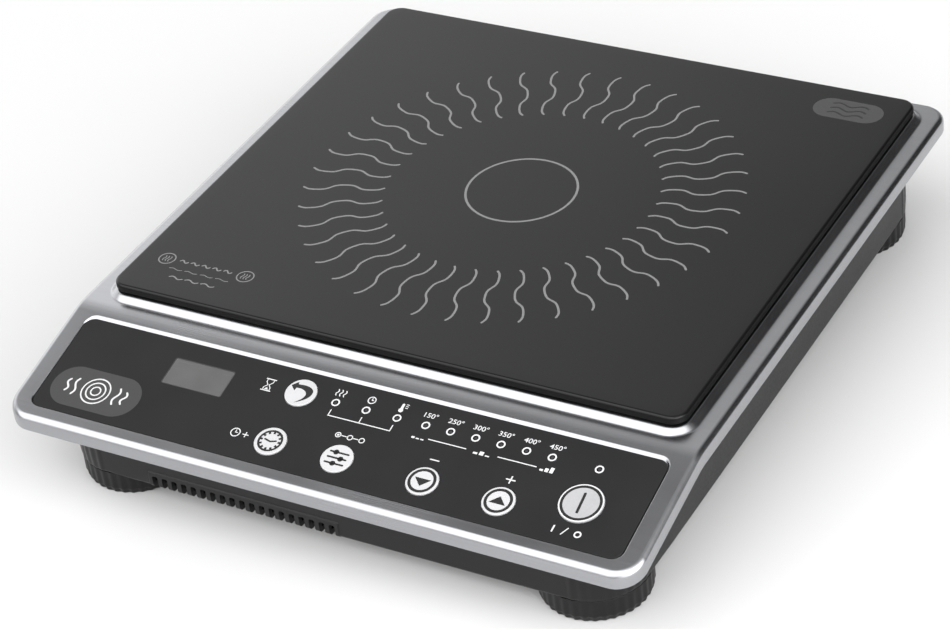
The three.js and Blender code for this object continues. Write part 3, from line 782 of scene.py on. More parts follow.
def wave_line(x0, y0, x1, y1, amp, n=18, cycles=1.0, phase=0.0):
    """A wavy line between two points."""
    d = Vector((x1 - x0, y1 - y0))
    q = Vector((-d.y, d.x)).normalized()
    out = []
    for i in range(n + 1):
        t = i / n
        a = amp * math.sin(2 * math.pi * (cycles * t) + phase)
        out.append((x0 + d.x * t + q.x * a, y0 + d.y * t + q.y * a))
    return out


def smooth_line(pts, sub=5):
    """Smooth curve through the points, ends included."""
    ext = [pts[0]] + list(pts) + [pts[-1]]
    out = []
    for a, b, c, d in zip(ext, ext[1:], ext[2:], ext[3:]):
        for i in range(sub):
            t = i / sub
            out.append(tuple(0.5 * (2 * q + (r - p) * t + (2 * p - 5 * q + 4 * r - s) * t * t + (3 * q - p - 3 * r + s) * t ** 3) for p, q, r, s in zip(a, b, c, d)))
    return out + [pts[-1]]


def glass_place(x, y, z):
    return (x, y, z)


ZG = GZ1 - 0.06
cook = Print(glass_place, ZG - 0.01, ZG + 0.035)
cook.ring(0, GCY, 28.05, 26.85, 128)


def off_at(r):
    """Sideways swing of a heat line, in degrees: full, rounded waves 2 mm to each side."""
    return math.degrees(2.05 / r) * math.tanh(1.5 * math.cos(math.pi * (r - 75.0) / 13.75)) / math.tanh(1.5)


for k in range(40):
    pts = []
    for i in range(45):
        r = 68.6 + (109.4 - 68.6) * i / 44
        a = math.radians(9 * k + off_at(r))
        pts.append((r * math.cos(a), GCY + r * math.sin(a)))
    cook.stroke(pts, 1.08)
# plain hot-surface mark: two small rings and rows of short heat lines
for cx in (-135.0, -90.5):
    cook.ring(cx, -76.6, 4.5, 3.9, 44)
    for dx in (-1.5, 0.0, 1.5):
        cook.stroke(wave_line(cx + dx, -78.6, cx + dx, -74.7, 0.36, 10), 0.5)
for j, (y, a, b) in enumerate(((-76.2, -128.5, -97.5), (-83.0, -130.5, -95.5), (-89.2, -126.5, -99.5))):
    n = 5 - j
    w = (b - a) / n
    for i in range(n):
        cook.stroke(wave_line(a + w * i + 0.9, y, a + w * (i + 1) - 0.9, y, (0.85, 0.45, 0.75)[j], 16), (0.75, 0.4, 0.7)[j])
cook.make("glass_print", GREY_INK, slot="ribbon_grey")
pl = Print(glass_place, ZG - 0.01, ZG + 0.03)
pl.stadium(121.5, 152, 18.2, 8.6)
pl.make("glass_plaque", GREY_INK2, slot="ribbon_grey")
pm = Print(glass_place, ZG + 0.02, ZG + 0.05)
for i in range(3):
    pm.stroke(wave_line(112.3, 147.8 + 4.2 * i, 130.7, 147.8 + 4.2 * i, 1.1, 30, 1.5), 0.95)
pm.make("glass_plaque_mark", DARK_INK, slot="dark_plastic")


# ------------------------------------------------------------------ 3. control panel
def build_overlay():
    mb = MB()
    out = rrect(PW / 2, (PV1 - PV0) / 2, PR, 0, (PV0 + PV1) / 2, 10)[0]
    holes = [circle(r + 0.12, 56, u, v) for _, u, v, r in KEYS] + [circle(1.15, 24, u, LED_V) for u in LEDS]
    holes.append(rrect(WIN[2] / 2, WIN[3] / 2, 0.8, WIN[0], WIN[1], 4)[0])
    inner = rrect(PW / 2 - 0.16, (PV1 - PV0) / 2 - 0.16, PR - 0.16, 0, (PV0 + PV1) / 2, 10)[0]
    b = mb.loop([pan(u, v, -0.7) for u, v in out])
    m = mb.loop([pan(u, v, -0.34) for u, v in out])
    t = mb.loop([pan(u, v, -0.2) for u, v in inner])
    mb.loft(b, m)
    mb.loft(m, t)
    tl, bl = [[(i, p) for i, p in zip(t, inner)]], [[(i, p) for i, p in zip(b, out)]]
    for h in holes:
        ht = mb.loop([pan(u, v, -0.2) for u, v in h])
        hb = mb.loop([pan(u, v, -0.7) for u, v in h])
        mb.loft(hb, ht, flip=True)
        tl.append([(i, p) for i, p in zip(ht, h)])
        bl.append([(i, p) for i, p in zip(hb, h)])
    mb.fill(tl, lambda x, y: pan(x, y, -0.2))
    mb.fill(bl, lambda x, y: pan(x, y, -0.7), flip=True)
    ob = mb.make("overlay_film", FILM, smooth=40, slot="overlay_film")
    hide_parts("control_overlay")


build_overlay()


def slab(name, mat, hx, hy, r, cx, cy, w0, w1, bev, place, body="chassis", slot=None, node=None, n=6):
    """A rounded slab with softened edges."""
    mb = MB()
    prof = [(-bev, w0), (-bev * 0.3, w0 + bev * 0.3), (0, w0 + bev), (0, w1 - bev), (-bev * 0.3, w1 - bev * 0.3), (-bev, w1)]
    rings = []
    for d, w in prof:
        p = rrect(hx + d, hy + d, max(r + d, 0.05), cx, cy, n)[0]
        rings.append((mb.loop([place(x, y, w) for x, y in p]), p))
    for a, b in zip(rings, rings[1:]):
        mb.loft(a[0], b[0])
    mb.fill([[(i, p) for i, p in zip(*rings[-1])]], lambda x, y: place(x, y, w1))
    mb.fill([[(i, p) for i, p in zip(*rings[0])]], lambda x, y: place(x, y, w0), flip=True)
    ob = mb.make(name, mat, smooth=40, body=body, slot=slot)
    if node:
        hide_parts(node)
    return ob


slab("display_filter", WINDOW, WIN[2] / 2 - 0.04, WIN[3] / 2 - 0.04, 0.8, WIN[0], WIN[1], -3.2, -0.21, 0.12, pan, slot="window_plastic", node="display_window")

pw = Print(pan, -0.205, -0.165)
# window border, lamp rings
pw.poly(rrect(WIN[2] / 2 + 0.35, WIN[3] / 2 + 0.35, 1.1, WIN[0], WIN[1], 4)[0], [rrect(WIN[2] / 2 + 0.02, WIN[3] / 2 + 0.02, 0.8, WIN[0], WIN[1], 4)[0]])
window_border = pw.make("window_border_print", BADGE_INK, slot="ribbon_grey")
pw = Print(pan, -0.205, -0.165)
for u in LEDS:
    pw.ring(u, LED_V, 2.08, 1.36, 36)
# function bracket
pw.stroke([(-9.0, 46.2), (-9.0, 43.0), (23.2, 43.0), (23.2, 46.2)], 0.5)
pw.stroke([(7.1, 43.3), (7.1, 46.2)], 0.5)
# level line
pw.stroke([(42.8, 43.8), (61.7, 43.8)], 0.5)
pw.stroke([(77.8, 43.8), (96.7, 43.8)], 0.5)


def bars(u, v, n, total, pitch=1.9, w=1.2, h=2.7):
    """Level pictogram: n of total rising bars filled, the rest low."""
    for i in range(total):
        hh = h * (i + 1) / total
        if i >= n:
            hh = 0.62
        x = u + (i - (total - 1) / 2) * pitch
        pw.poly([(x - w / 2, v - h / 2), (x + w / 2, v - h / 2), (x + w / 2, v - h / 2 + hh), (x - w / 2, v - h / 2 + hh)])


bars(37.6, 43.9, 1, 3, 2.3, 1.6, 3.0)
bars(69.8, 43.9, 2, 3, 3.0, 2.1, 3.0)
bars(102.0, 43.9, 3, 3, 2.4, 1.7, 3.0)
for u, num in zip(LEDS[3:9], (150, 250, 300, 350, 400, 450)):
    pw.text(f"{num}°", u + 0.1, 56.3, 2.75, 0.006, 1.12)
# mode pictograms over the first three lamps: heat, clock, thermometer
for dx in (-2.0, 0.0, 2.0):
    pw.stroke(wave_line(-9.0 + dx, 54.6, -9.0 + dx, 58.0, 0.42, 12), 0.5)
pw.ring(7.0, 56.6, 2.1, 1.6, 36)
pw.stroke([(7.0, 57.75), (7.0, 56.6), (7.85, 56.6)], 0.42)
pw.poly(arc_pts(22.6, 55.2, 1.15, -235, 55, 20) + arc_pts(22.6, 58.5, 0.62, 0, 180, 8))
for dv in (56.9, 57.9, 58.9):
    pw.stroke([(24.2, dv), (25.3, dv)], 0.36)
# label pictograms for the keys
pw.ring(1.2, 34.2, 1.5, 1.02, 28); pw.ring(7.3, 34.2, 1.5, 1.02, 28); pw.ring(13.4, 34.2, 1.5, 1.02, 28)
pw.stroke([(3.1, 34.2), (5.4, 34.2)], 0.45); pw.stroke([(9.2, 34.2), (11.5, 34.2)], 0.45)
pw.disc(1.2, 34.2, 0.6, 20)
pw.stroke([(48.9, 33.9), (53.1, 33.9)], 0.62)
pw.stroke([(86.9, 33.9), (91.1, 33.9)], 0.62)
pw.poly([(88.7, 34.25), (89.3, 34.25), (89.3, 36.0), (88.7, 36.0)])
pw.poly([(88.7, 31.8), (89.3, 31.8), (89.3, 33.55), (88.7, 33.55)])
pw.stroke([(118.4, 14.0), (118.4, 17.0)], 0.72)
pw.stroke([(122.9, 13.6), (124.9, 17.4)], 0.5)
pw.ring(130.2, 15.5, 1.75, 1.05, 32)
# hourglass beside the reset key, small clock with a plus beside the set key
pw.stroke([(-47.6, 54.3), (-42.6, 54.3)], 0.55); pw.stroke([(-47.6, 47.7), (-42.6, 47.7)], 0.55)
pw.stroke([(-46.8, 53.7), (-46.8, 52.6), (-45.45, 51.0), (-46.8, 49.4), (-46.8, 48.3)], 0.4)
pw.stroke([(-43.4, 53.7), (-43.4, 52.6), (-44.75, 51.0), (-43.4, 49.4), (-43.4, 48.3)], 0.4)
pw.poly([(-46.2, 48.2), (-44.0, 48.2), (-45.1, 49.7)])
pw.ring(-46.4, 21.7, 2.5, 2.0, 40)
pw.stroke([(-46.4, 23.1), (-46.4, 21.7), (-45.3, 21.7)], 0.42)
pw.stroke([(-42.4, 21.7), (-39.6, 21.7)], 0.5)
pw.poly([(-41.25, 21.98), (-40.75, 21.98), (-40.75, 23.2), (-41.25, 23.2)])
pw.poly([(-41.25, 20.2), (-40.75, 20.2), (-40.75, 21.42), (-41.25, 21.42)])
pw.make("panel_print", WHITE_INK, slot="key_plastic")
# plain plaque at the left of the panel
pb = Print(pan, -0.205, -0.17)
pb.stadium(-124.8, 23.8, 24.0, 11.6)
pb.make("panel_plaque", BADGE_INK, slot="ribbon_grey")
pc = Print(pan, -0.175, -0.14)
for i, (r1, r0) in enumerate(((7.6, 6.9), (5.2, 4.5), (2.8, 2.1))):
    pc.ring(-124.8, 23.8, r1, r0, 64)
for sgn in (-1, 1):
    for i in range(2):
        x = -124.8 + sgn * (11.5 + 4.2 * i)
        pc.stroke(wave_line(x, 19.2 + 1.2 * i, x, 28.4 - 1.2 * i, 0.9 * sgn, 20), 0.95)
pc.make("panel_plaque_mark", WHITE_INK, slot="key_plastic")


# ------------------------------------------------------------------ 4. keys
def build_key(name, u, v, r):
    rc = r - 0.25
    body = name + "_body"
    place = lambda x, y, z: pan(u + x, v + y, z)
    prof = [(0, -7.4), (2.3, -7.4), (2.6, -7.1), (2.6, -4.1), (2.8, -3.9), (r + 0.95, -3.9), (r + 1.1, -3.75), (r + 1.1, -3.1), (r + 0.95, -2.95),
            (rc + 0.12, -2.95), (rc, -2.8), (rc, -0.02), (rc - 0.03, 0.12), (rc - 0.12, 0.24), (rc - 0.28, 0.315), (rc - 0.5, 0.34), (0, 0.34)]
    ob = lathe(prof, 96, place, name + "_cap", CAP2 if name == "key_power" else CAP, 35, body, "key_plastic")
    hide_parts(name)
    p = Print(place, 0.335, 0.365)
    if name == "key_reset":
        inner = [(-3.3, 1.95), (-0.6, 1.95), (1.7, 1.1), (2.85, -0.3), (2.9, -1.9), (1.8, -4.0), (-0.6, -6.3)]
        outer = [(-0.6, -6.3), (2.5, -4.5), (4.8, -2.2), (5.75, 0.2), (5.4, 2.3), (3.3, 3.75), (0.5, 4.25), (-3.3, 4.0)]
        p.poly([(-6.3, 2.65), (-3.6, 0.1)] + smooth_line(inner) + smooth_line(outer)[1:] + [(-3.65, 5.4)])
    elif name == "key_set_time":
        p.ring(0, 0, 6.1, 5.05, 72)
        for k in range(12):
            a = math.radians(30 * k)
            p.stroke([(3.95 * math.cos(a), 3.95 * math.sin(a)), (5.1 * math.cos(a), 5.1 * math.sin(a))], 1.12, cap=False)
        p.stroke([(-2.9, 0.35), (0.1, -0.4), (2.8, 0.5)], 0.9)
    elif name == "key_function":
        for k, (y, x) in enumerate(((3.1, -1.8), (0.0, 1.9), (-3.1, -0.6))):
            p.stroke([(-4.6, y), (4.6, y)], 0.95)
            p.poly(circle(1.4, 28, x, y))
    elif name in ("key_down", "key_up"):
        p.ring(0, 0, 6.6, 5.2, 72)
        if name == "key_up":
            p.poly([(-4.1, -1.75), (4.1, -1.75), (0.0, 2.45)])
        else:
            p.poly([(-4.1, 1.2), (4.1, 1.2), (0.1, -3.0)])
    else:
        p.ring(0, 0, 9.5, 8.2, 96)
        p.stroke([(-0.3, 5.1), (0.3, -5.1)], 1.3)
    p.make(name + "_mark", DARK_INK, body=body, slot="dark_plastic")
    if name == "key_power":
        q = Print(place, 0.335, 0.36)
        q.ring(0, 0, rc - 0.28, 9.5, 96)
        q.make(name + "_band", WHITE_INK, body=body, slot="key_plastic")


for k in KEYS:
    build_key(*k)


# ------------------------------------------------------------------ 5. base tray
BX, BYF, BYR, ZB, WALL, CR = 148.75, -167.8, 179.4, 12.65, 2.5, 27.0
VENT_X = [-92.4 + 5.33 * i for i in range(19)]


def build_tray():
    mb = MB()
    yc, hy = (BYF + BYR) / 2, (BYR - BYF) / 2
    flutes, per = 9, 8
    # perimeter stations: position on the outer wall, outward normal, corner flag, arc length
    st = []
    centres = ((1, -1, -90), (1, 1, 0), (-1, 1, 90), (-1, -1, 180))
    for k, (sx, sy, a0) in enumerate(centres):
        cx, cy = sx * (BX - CR), yc + sy * (hy - CR)
        for i in range(flutes * per + 1):
            a = math.radians(a0 + 90 * i / (flutes * per))
            ph = i / per
            dip = 0.34 * math.cos(math.pi * ph) ** 2
            st.append((cx, cy, CR, a, dip))
    # walk the perimeter, with straight runs between the corners
    stations = []
    per_corner = flutes * per + 1
    for k in range(4):
        stations += [("c",) + s for s in st[k * per_corner:(k + 1) * per_corner]]
    S0 = [0.0]

    def pos(s, o):
        """Plan point of station s, moved o inward."""
        _, cx, cy, R, a, dip = s
        f = max(0.0, 1.0 - o / 1.9)
        rr = R - o - dip * f
        return (cx + rr * math.cos(a), cy + rr * math.sin(a))

    # profile: under-floor margin, rounded lower edge, wall
    rows = [(16.0, 0.0), (1.9, 0.0), (1.15, 0.16), (0.56, 0.56), (0.16, 1.15), (0.0, 1.9), (0.0, 7.0), (0.0, 8.6), (0.0, 9.2)]
    t = [0.0]
    for a, b in zip(rows, rows[1:]):
        t.append(t[-1] + math.hypot(a[0] - b[0], a[1] - b[1]))
    tz = lambda y: min(62.4, topz(y) - 6.2)
    tmax = t[-1] + 1.0

    def prof(tt):
        """(inward offset, height above ZB, share of the way to the top) at arc position tt."""
        if tt >= t[-1]:
            return 0.0, rows[-1][1], tt - t[-1]
        for k in range(len(t) - 1):
            if tt <= t[k + 1] + 1e-9:
                q = (tt - t[k]) / (t[k + 1] - t[k])
                return rows[k][0] * (1 - q) + rows[k + 1][0] * q, rows[k][1] * (1 - q) + rows[k + 1][1] * q, 0.0
        return 0.0, rows[-1][1], 0.0

    BAND = (VENT_X[0] - 4.0, VENT_X[-1] + 4.0)

    def corner(o, dz, a):
        """Inward offset on the corner columns: their foot is nearly square and tapers to meet the rubber."""
        w = min(1.0, abs(math.sin(2 * a)) * 2.2)
        if o > 1.95:
            return o
        return o * (1 - 0.8 * w) + w * 0.5 * (1 - min(1.0, dz / 7.0)) ** 2

    def place(x, y, nx, ny, o, dz, share):
        z = ZB + dz
        top = tz(y)
        if share > 0:
            z = z + (top - z) * share
        if ny < -0.99 and BAND[0] < x < BAND[1]:
            kx = min(1.0, (x - BAND[0]) / 0.8, (BAND[1] - x) / 0.8)
            if dz <= 9.2 and share == 0:
                kz = 1.0 if dz <= 8.6 else (9.2 - dz) / 0.6
                wall = min(1.0, dz / 1.9)
                y -= 0.6 * kx * kz * wall
                if o > 0:
                    z -= 0.45 * kx * (1 - wall) * min(1.0, max(0.0, (13.6 - o) / 1.2))
        return (x, y, z)

    # corners and side walls: lofted rows; front and rear straights: holed sheets
    tv = t + [t[-1] + 1.0]
    grid = []
    for s in stations:
        col = []
        for tt in tv:
            o, dz, sh = prof(tt)
            x, y = pos(s, corner(o, dz if sh == 0 else 9.2, s[4]))
            col.append(mb.add(place(x, y, math.cos(s[4]), math.sin(s[4]), o, dz, sh), (x, ZB + dz)))
        grid.append(col)
    # side walls follow the bend of the top, so they get columns along their length
    runs = {}
    for k, sx in ((0, 1), (2, -1)):
        cols = []
        for y in sorted([Y_BEND + t for t in (-4, -3, -2, -1, 0, 1, 2, 3, 4)] + [-80, -30, 20, 70, 115], reverse=sx < 0):
            col = []
            for tt in tv:
                o, dz, sh = prof(tt)
                col.append(mb.add(place(sx * (BX - o), y, sx, 0, o, dz, sh), (y, ZB + dz)))
            cols.append(col)
        runs[k] = cols
    n = len(grid)
    for i in range(n):
        j = (i + 1) % n
        last = (i + 1) % per_corner == 0
        k = i // per_corner
        if last and k in (1, 3):
            continue                      # rear (k 1 -> 2) and front (k 3 -> 0) straights are made below
        chain = [grid[i]] + (runs[k] if last else []) + [grid[j]]
        for a, b in zip(chain, chain[1:]):
            for r in range(len(tv) - 1):
                mb.f.append((a[r], b[r], b[r + 1], a[r + 1]))
    # front straight: from the last station of corner 3 to the first of corner 0
    def straight(ca, cb, holes, extra_x, extra_t, sgn):
        xa, xb = mb.v[grid[ca][0]][0], mb.v[grid[cb][0]][0]
        ywall = BYF if sgn < 0 else BYR
        dirx = 1 if xb > xa else -1

        def lift(x, tt):
            o, dz, sh = prof(tt)
            return place(x, ywall - sgn * o, 0, sgn, o, dz, sh)

        left = [(grid[ca][r], (xa * dirx, tv[r])) for r in range(len(tv))]
        right = [(grid[cb][r], (xb * dirx, tv[r])) for r in range(len(tv))]
        bottom_x = [x for x in extra_x]
        bot = [(mb.add(lift(x * dirx, tv[0]), (x * dirx, 0)), (x, tv[0])) for x in bottom_x]
        topv = [(mb.add(lift(x * dirx, tv[-1]), (x * dirx, 60)), (x, tv[-1])) for x in bottom_x]
        outer = [left[0]] + bot + right + topv[::-1] + left[::-1][:-1]
        loops = [outer]
        for h in holes:
            loops.append([(mb.add(lift(p[0] * dirx, p[1]), (p[0] * dirx, p[1])), p) for p in h])
        lines = [(left[r], right[r]) for r in range(1, len(tv) - 1)]
        lines += [(a, b) for a, b in zip(bot, topv)]
        mb.fill(loops, lambda x, y: lift(x * dirx, y), lines, uvf=lambda x, y: (x * dirx, y))
        return bot

    t_wall0 = t[5]                         # where the vertical wall starts
    z_to_t = lambda z: t_wall0 + (z - ZB - 1.9)
    tin = t[1] - (11.4 - 1.9)              # inner end of the vent slots under the floor
    holes = []
    for x in VENT_X:
        w, r = 1.5, 0.9
        zt = z_to_t(19.4)
        holes.append([(x + w, tin + r)] + [(x + w, zt - r)] + arc_pts(x + w - r, zt - r, r, 0, 90, 4)[1:] + arc_pts(x - w + r, zt - r, r, 90, 180, 4)
                     + [(x - w, tin + r)] + arc_pts(x - w + r, tin + r, r, 180, 270, 4)[1:] + arc_pts(x + w - r, tin + r, r, 270, 360, 4)[:-1])
    ex = sorted([BAND[0], BAND[0] + 0.8, BAND[1] - 0.8, BAND[1], 40.0, 80.0, -110.0])
    fb = straight(3 * per_corner + per_corner - 1, 0, holes, ex, [], -1)
    rh = []
    # exhaust slots live above the vertical wall start; their height is a share of the way up
    hz = lambda z: t[-1] + (z - (ZB + 9.2)) / (62.4 - (ZB + 9.2))
    for i in range(18):
        x = -(-112 + 9.5 * i)
        w = 1.8
        a, b = hz(23.8), hz(44.2)
        k = 1.0 / (62.4 - (ZB + 9.2))
        top = [(x + w * math.cos(q), b + w * k * math.sin(q)) for q in np.linspace(0, math.pi, 9)]
        bot = [(x + w * math.cos(q), a + w * k * math.sin(q)) for q in np.linspace(math.pi, 2 * math.pi, 9)]
        rh.append(top + bot)
    gx, gk = -100.0, 1.0 / (62.4 - (ZB + 9.2))
    gl = [(gx + 8.15 * math.cos(q), hz(30.0) + 8.15 * gk * math.sin(q)) for q in np.linspace(0, 2 * math.pi, 33)[:-1]]
    rh = [h for h in rh if all(abs(p[0] - gx) > 10.5 for p in h)] + [gl]
    rb = straight(per_corner + per_corner - 1, 2 * per_corner, rh, [-60.0, 0.0, 60.0], [], 1)
    # floor
    ring = []
    for k in range(4):
        ring += [grid[k * per_corner + i][0] for i in range(per_corner)]
        if k in runs:
            ring += [c[0] for c in runs[k]]
        if k == 1:
            ring += [i for i, _ in rb]
        if k == 3:
            ring += [i for i, _ in fb]
    loops = [[(i, (mb.v[i][0], mb.v[i][1])) for i in ring]]
    fx, fy = -88.0, -88.0
    for i in range(-4, 5):
        L = math.sqrt(35 * 35 - (i * 7.6) ** 2)
        x = fx + i * 7.6
        h = arc_pts(x, fy + L - 1.9, 1.9, 0, 180, 8) + arc_pts(x, fy - L + 1.9, 1.9, 180, 360, 8)
        loops.append([(mb.add((p[0], p[1], ZB), p), p) for p in h])
    for _, x, y in POSTS:
        c = circle(4.6, 28, x, y)
        loops.append([(mb.add((p[0], p[1], ZB), p), p) for p in c])
    for _, x, y in FEET:
        c = circle(2.4, 20, x, y)
        loops.append([(mb.add((p[0], p[1], ZB), p), p) for p in c])
    for i in range(12):
        for j in range(2):
            x, y = 40 + 6.4 * i, -96 + 46 * j
            h = arc_pts(x, y + 16, 1.5, 0, 180, 6) + arc_pts(x, y - 16, 1.5, 180, 360, 6)
            loops.append([(mb.add((p[0], p[1], ZB), p), p) for p in h])
    mb.fill(loops, lambda x, y: (x, y, ZB), flip=True)
    ob = mb.make("tray_shell", TRAY, solid=WALL, smooth=32, slot="tray_plastic")
    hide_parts("base_tray")
    return ob


tray = build_tray()


# ------------------------------------------------------------------ 6. feet, screws, gland
def build_foot(name, x, y):
    R, H = 26.4, 12.62
    prof = [(2.6, 6.4), (6.7, 6.4), (7.0, 6.1), (7.0, 0.5), (7.3, 0.12), (7.7, 0.0), (12.0, 0.0), (12.4, 0.5), (13.2, 0.75), (20.2, 0.75), (21.0, 0.5), (21.4, 0.0),
            (R - 2.6, 0.0), (R - 1.75, 0.22), (R - 1.0, 0.85), (R - 0.62, 1.8), (R - 0.45, 2.6), (R - 0.12, 3.4), (R, 4.2), (R, 11.8), (R - 0.02, 12.3), (R - 0.05, 12.52), (R - 0.13, H),
            (2.9, H), (2.6, H - 0.3)]
    amp = [0.0] * 12 + [0.3, 0.5, 0.8, 0.9, 0.85, 0.65, 0.45, 0.30, 0.26, 0.25, 0.25, 0.0, 0.0]

    def wave(a, k):
        return -amp[k] * math.cos(18 * a) ** 2

    ob = lathe(prof, 36 * 8, lambda px, py, z: (x + px, y + py, z), f"foot_{name}_moulding", FOOT, 32, slot="foot_rubber", wave=wave)
    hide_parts(f"foot_{name}")


for f in FEET:
    build_foot(*f)


def build_screw(name, x, y, z, rh, hh, rs, length, node):
    """Pan head screw, head down, with a cross recess and a rolled thread."""
    mb = MB()
    n = 48
    prof = [(rh * 0.55, z + 0.0), (rh * 0.82, z + hh * 0.10), (rh * 0.95, z + hh * 0.32), (rh, z + hh * 0.62), (rh, z + hh * 0.9), (rh * 0.97, z + hh), (rs * 1.02, z + hh)]
    turns = int((length - 2) / 1.5)
    for k in range(turns):
        zz = z + hh + 0.5 + k * 1.5
        prof += [(rs * 0.80, zz), (rs, zz + 0.55), (rs * 0.97, zz + 0.75), (rs * 0.80, zz + 1.2)]
    zt = z + hh + length
    prof += [(rs * 0.78, zt - rs * 0.7), (rs * 0.2, zt)]
    rings = [mb.loop([(x + r * math.cos(2 * math.pi * i / n), y + r * math.sin(2 * math.pi * i / n), q) for i in range(n)]) for r, q in prof]
    for a, b in zip(rings, rings[1:]):
        mb.loft(a, b)
    tip = mb.add((x, y, zt + 0.05))
    mb.fan(rings[-1], tip)
    # cross recess in the face of the head
    a, b = rh * 0.46, rh * 0.13
    cross = [(a, -b), (a, b), (b, b), (b, a), (-b, a), (-b, b), (-a, b), (-a, -b), (-b, -b), (-b, -a), (b, -a), (b, -b)]
    face = mb.loop([(x + p[0], y + p[1], z) for p in cross])
    deep = mb.loop([(x + p[0] * 0.72, y + p[1] * 0.8, z + hh * 0.62) for p in cross])
    mb.loft(face, deep, flip=False)
    mb.fill([[(i, (mb.v[i][0], mb.v[i][1])) for i in rings[0]], [(i, (mb.v[i][0], mb.v[i][1])) for i in face]], lambda px, py: (px, py, z), flip=True)
    mb.fill([[(i, (mb.v[i][0], mb.v[i][1])) for i in deep]], lambda px, py: (px, py, z + hh * 0.62), flip=True)
    ob = mb.make(name, SCREW, smooth=40, slot="screw_steel")
    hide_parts(node)


for nm, x, y in FEET:
    build_screw(f"screw_foot_{nm}", x, y, 3.6, 5.0, 2.6, 1.9, 12, f"foot_screw_{nm}")
for nm, x, y in POSTS:
    build_screw(f"screw_housing_{nm}", x, y, 10.6, 3.7, 1.7, 1.5, 52, f"housing_screw_{nm}")

# ribbed cable gland at the rear
gp = [(4.3, 166.2), (7.3, 166.2), (7.7, 166.6), (7.7, 179.8), (11.2, 179.8), (11.5, 180.1), (11.5, 180.9), (11.2, 181.4), (10.4, 181.75), (9.0, 181.85), (8.4, 181.6), (7.6, 181.85),
      (6.4, 181.88), (5.2, 181.7), (4.5, 181.2), (4.3, 180.4)]
gl = lathe(gp, 64, lambda px, py, z: (100 + px, z, 30 - py), "inlet_gland", GLAND, 32, slot="gland_rubber")
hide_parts("cord_gland")


# ------------------------------------------------------------------ 7. carried-over CAD nodes
NODE_MATS = {
    "glass_seal": SEAL, "led_light_guide": GUIDE, "display_module": DARK, "control_board": BOARD, "power_board": BOARD,
    "coil_former": make_plastic("coil_former_moulding", (0.045, 0.045, 0.047), 0.55, 0.2, 700.0), "induction_coil": WINDING, "mica_sheet": MICA, "thermal_sensor": CERAMIC, "heatsink": ALU,
    "igbt": DARK, "bridge_rectifier": DARK, "resonant_capacitor": CAPAC, "filter_capacitor": CAPAC, "choke_toroid": WINDING, "fuse": CERAMIC,
    "terminal_block": make_plastic("terminal_block_moulding", (0.62, 0.60, 0.55), 0.42, 0.1, 800.0), "fan_frame": DARK, "fan_rotor": DARK,
    "coil_lead_a": LEAD_A, "coil_lead_b": LEAD_B, "ribbon_cable": RIBBON,
}
for n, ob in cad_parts.items():
    if ob.hide_render:
        continue
    m = NODE_MATS.get(n)
    if m is None:
        m = FERRITE if n.startswith("ferrite") else DARK
    ob.data.materials.clear()
    ob.data.materials.append(m)
    bv = ob.modifiers.new("edge", "BEVEL")
    bv.width, bv.segments, bv.limit_method, bv.angle_limit = 0.00018, 2, "ANGLE", math.radians(40)
    bv.use_clamp_overlap = True


# ------------------------------------------------------------------ stage, lights, camera
def build_stage():
    mb = MB()
    r = 9000.0
    ring = mb.loop([(r * math.cos(2 * math.pi * i / 96), r * math.sin(2 * math.pi * i / 96), -0.02) for i in range(96)])
    mb.fan(ring, mb.add((0, 0, -0.02)))
    me = bpy.data.meshes.new("studio_floor")
    me.from_pydata([(x * S, y * S, z * S) for x, y, z in mb.v], [], mb.f)
    ob = bpy.data.objects.new("studio_floor", me)
    bpy.context.scene.collection.objects.link(ob)
    m = Mat("pale_floor", (0.56, 0.56, 0.56), 0.6)
    nz = m.noise(m.coord("Object"), 3.0, 2.0, 0.5)
    m.set("Base Color", m.ramp(nz, [(0.3, (0.555, 0.555, 0.555)), (0.7, (0.565, 0.565, 0.565))]))
    m.b.inputs["Specular IOR Level"].default_value = 0.0
    me.materials.append(m.m)


build_stage()


def area(name, direction, dist, sx, sy, power, target=(0, 0, 0.04)):
    d = Vector(direction).normalized()
    li = bpy.data.lights.new(name, "AREA")
    li.shape, li.size, li.size_y, li.energy = "RECTANGLE", sx, sy, power
    ob = bpy.data.objects.new(name, li)
    ob.location = Vector(target) + d * dist
    ob.rotation_mode = "QUATERNION"
    ob.rotation_quaternion = (-d).to_track_quat("-Z", "Y")
    bpy.context.scene.collection.objects.link(ob)
    return ob


area("side_card", (0.27, -0.18, 0.27), 0.42, 0.34, 0.22, 1.0, (0.15, -0.10, 0.03))


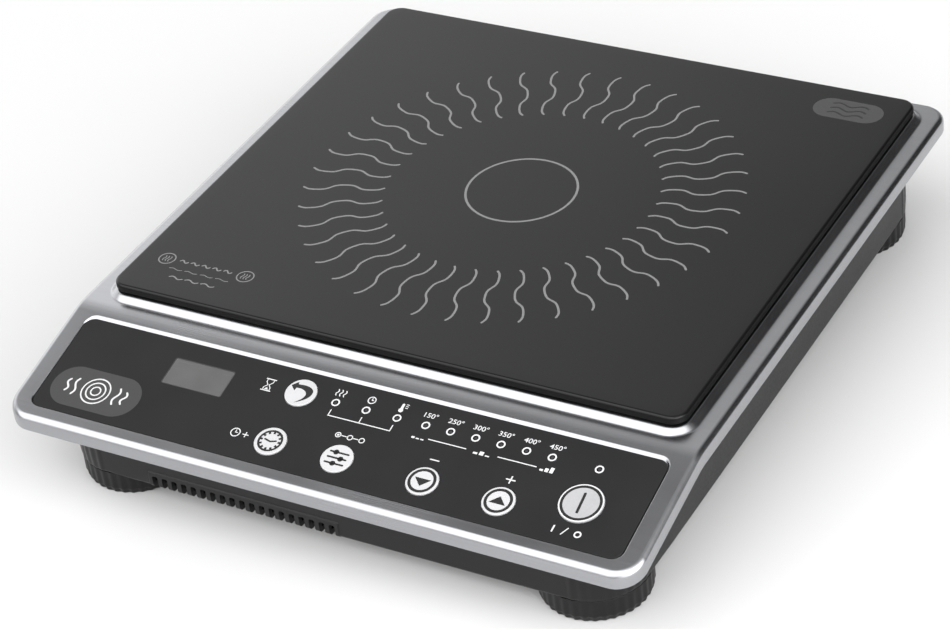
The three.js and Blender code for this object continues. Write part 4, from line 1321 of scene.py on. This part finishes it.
def build_world():
    w = bpy.data.worlds.new("soft_studio")
    bpy.context.scene.world = w
    w.use_nodes = True
    nt = w.node_tree
    for nd in list(nt.nodes):
        nt.nodes.remove(nd)
    out = nt.nodes.new("ShaderNodeOutputWorld")
    bg = nt.nodes.new("ShaderNodeBackground")
    tc = nt.nodes.new("ShaderNodeTexCoord")
    nt.links.new(bg.outputs[0], out.inputs[0])

    def link(v, s):
        if hasattr(v, "node"):
            nt.links.new(v, s)
        else:
            s.default_value = v

    def mth(op, a, b=0.0):
        x = nt.nodes.new("ShaderNodeMath")
        x.operation = op
        link(a, x.inputs[0]); link(b, x.inputs[1])
        return x.outputs[0]

    def lobe(d, a0, a1):
        """1 near direction d, 0 beyond: smooth between the cosines a0 < a1."""
        v = nt.nodes.new("ShaderNodeVectorMath")
        v.operation = "DOT_PRODUCT"
        nt.links.new(tc.outputs["Generated"], v.inputs[0])
        v.inputs[1].default_value = Vector(d).normalized()
        r = nt.nodes.new("ShaderNodeMapRange")
        r.interpolation_type = "SMOOTHSTEP"
        nt.links.new(v.outputs["Value"], r.inputs["Value"])
        r.inputs[1].default_value, r.inputs[2].default_value = a0, a1
        r.inputs[3].default_value, r.inputs[4].default_value = 0.0, 1.0
        return r.outputs[0]

    wall = lobe((-0.85, 0.45, 0.28), 0.70, 0.98)             # bright wall behind, on the left
    key = lobe((-0.38, -0.58, 0.72), 0.74, 0.88)             # large overhead softbox, towards the front
    gap = lobe((-0.62, 0.16, 0.77), 0.88, 0.99)              # dim ceiling between the two
    fill = lobe((0.64, -0.45, 0.62), 0.58, 0.93)             # softer one on the right
    side = lobe((0.93, -0.25, 0.28), 0.72, 0.98)
    flag = lobe((0.51, 0.69, 0.52), 0.76, 0.93)              # black flag behind, on the right
    v = mth("ADD", 0.48, mth("MULTIPLY", wall, 1.30))
    v = mth("ADD", v, mth("MULTIPLY", key, 2.5))
    v = mth("ADD", v, mth("MULTIPLY", fill, 2.3))
    v = mth("ADD", v, mth("MULTIPLY", side, 1.0))
    v = mth("SUBTRACT", v, mth("MULTIPLY", gap, 0.44))
    v = mth("MAXIMUM", v, 0.02)
    v = mth("MULTIPLY", v, mth("SUBTRACT", 1.0, mth("MULTIPLY", flag, 0.97)))
    bg.inputs["Color"].default_value = (1.0, 1.0, 1.0, 1)
    nt.links.new(v, bg.inputs["Strength"])


build_world()

cam = bpy.data.cameras.new("photo_view")
cam.sensor_width, cam.lens = 36.0, 2987.1894 * 36.0 / 950.0
cam.clip_start, cam.clip_end = 0.05, 60.0
co = bpy.data.objects.new("photo_view", cam)
right, down, fwd = (Vector(r) for r in ((0.8746657901, 0.4736226822, -0.1031567276), (0.2034735866, -0.5519045207, -0.8087026027), (-0.4399525601, 0.6863548317, -0.5791017095)))
rot = Matrix((right, -down, -fwd)).transposed()
co.matrix_world = Matrix.Translation(Vector((0.6312809302, -1.0066720397, 0.8666106238))) @ rot.to_4x4()
bpy.context.scene.collection.objects.link(co)
bpy.context.scene.camera = co
bpy.context.scene.view_settings.view_transform = "Standard"
bpy.context.scene.view_settings.look = "None"
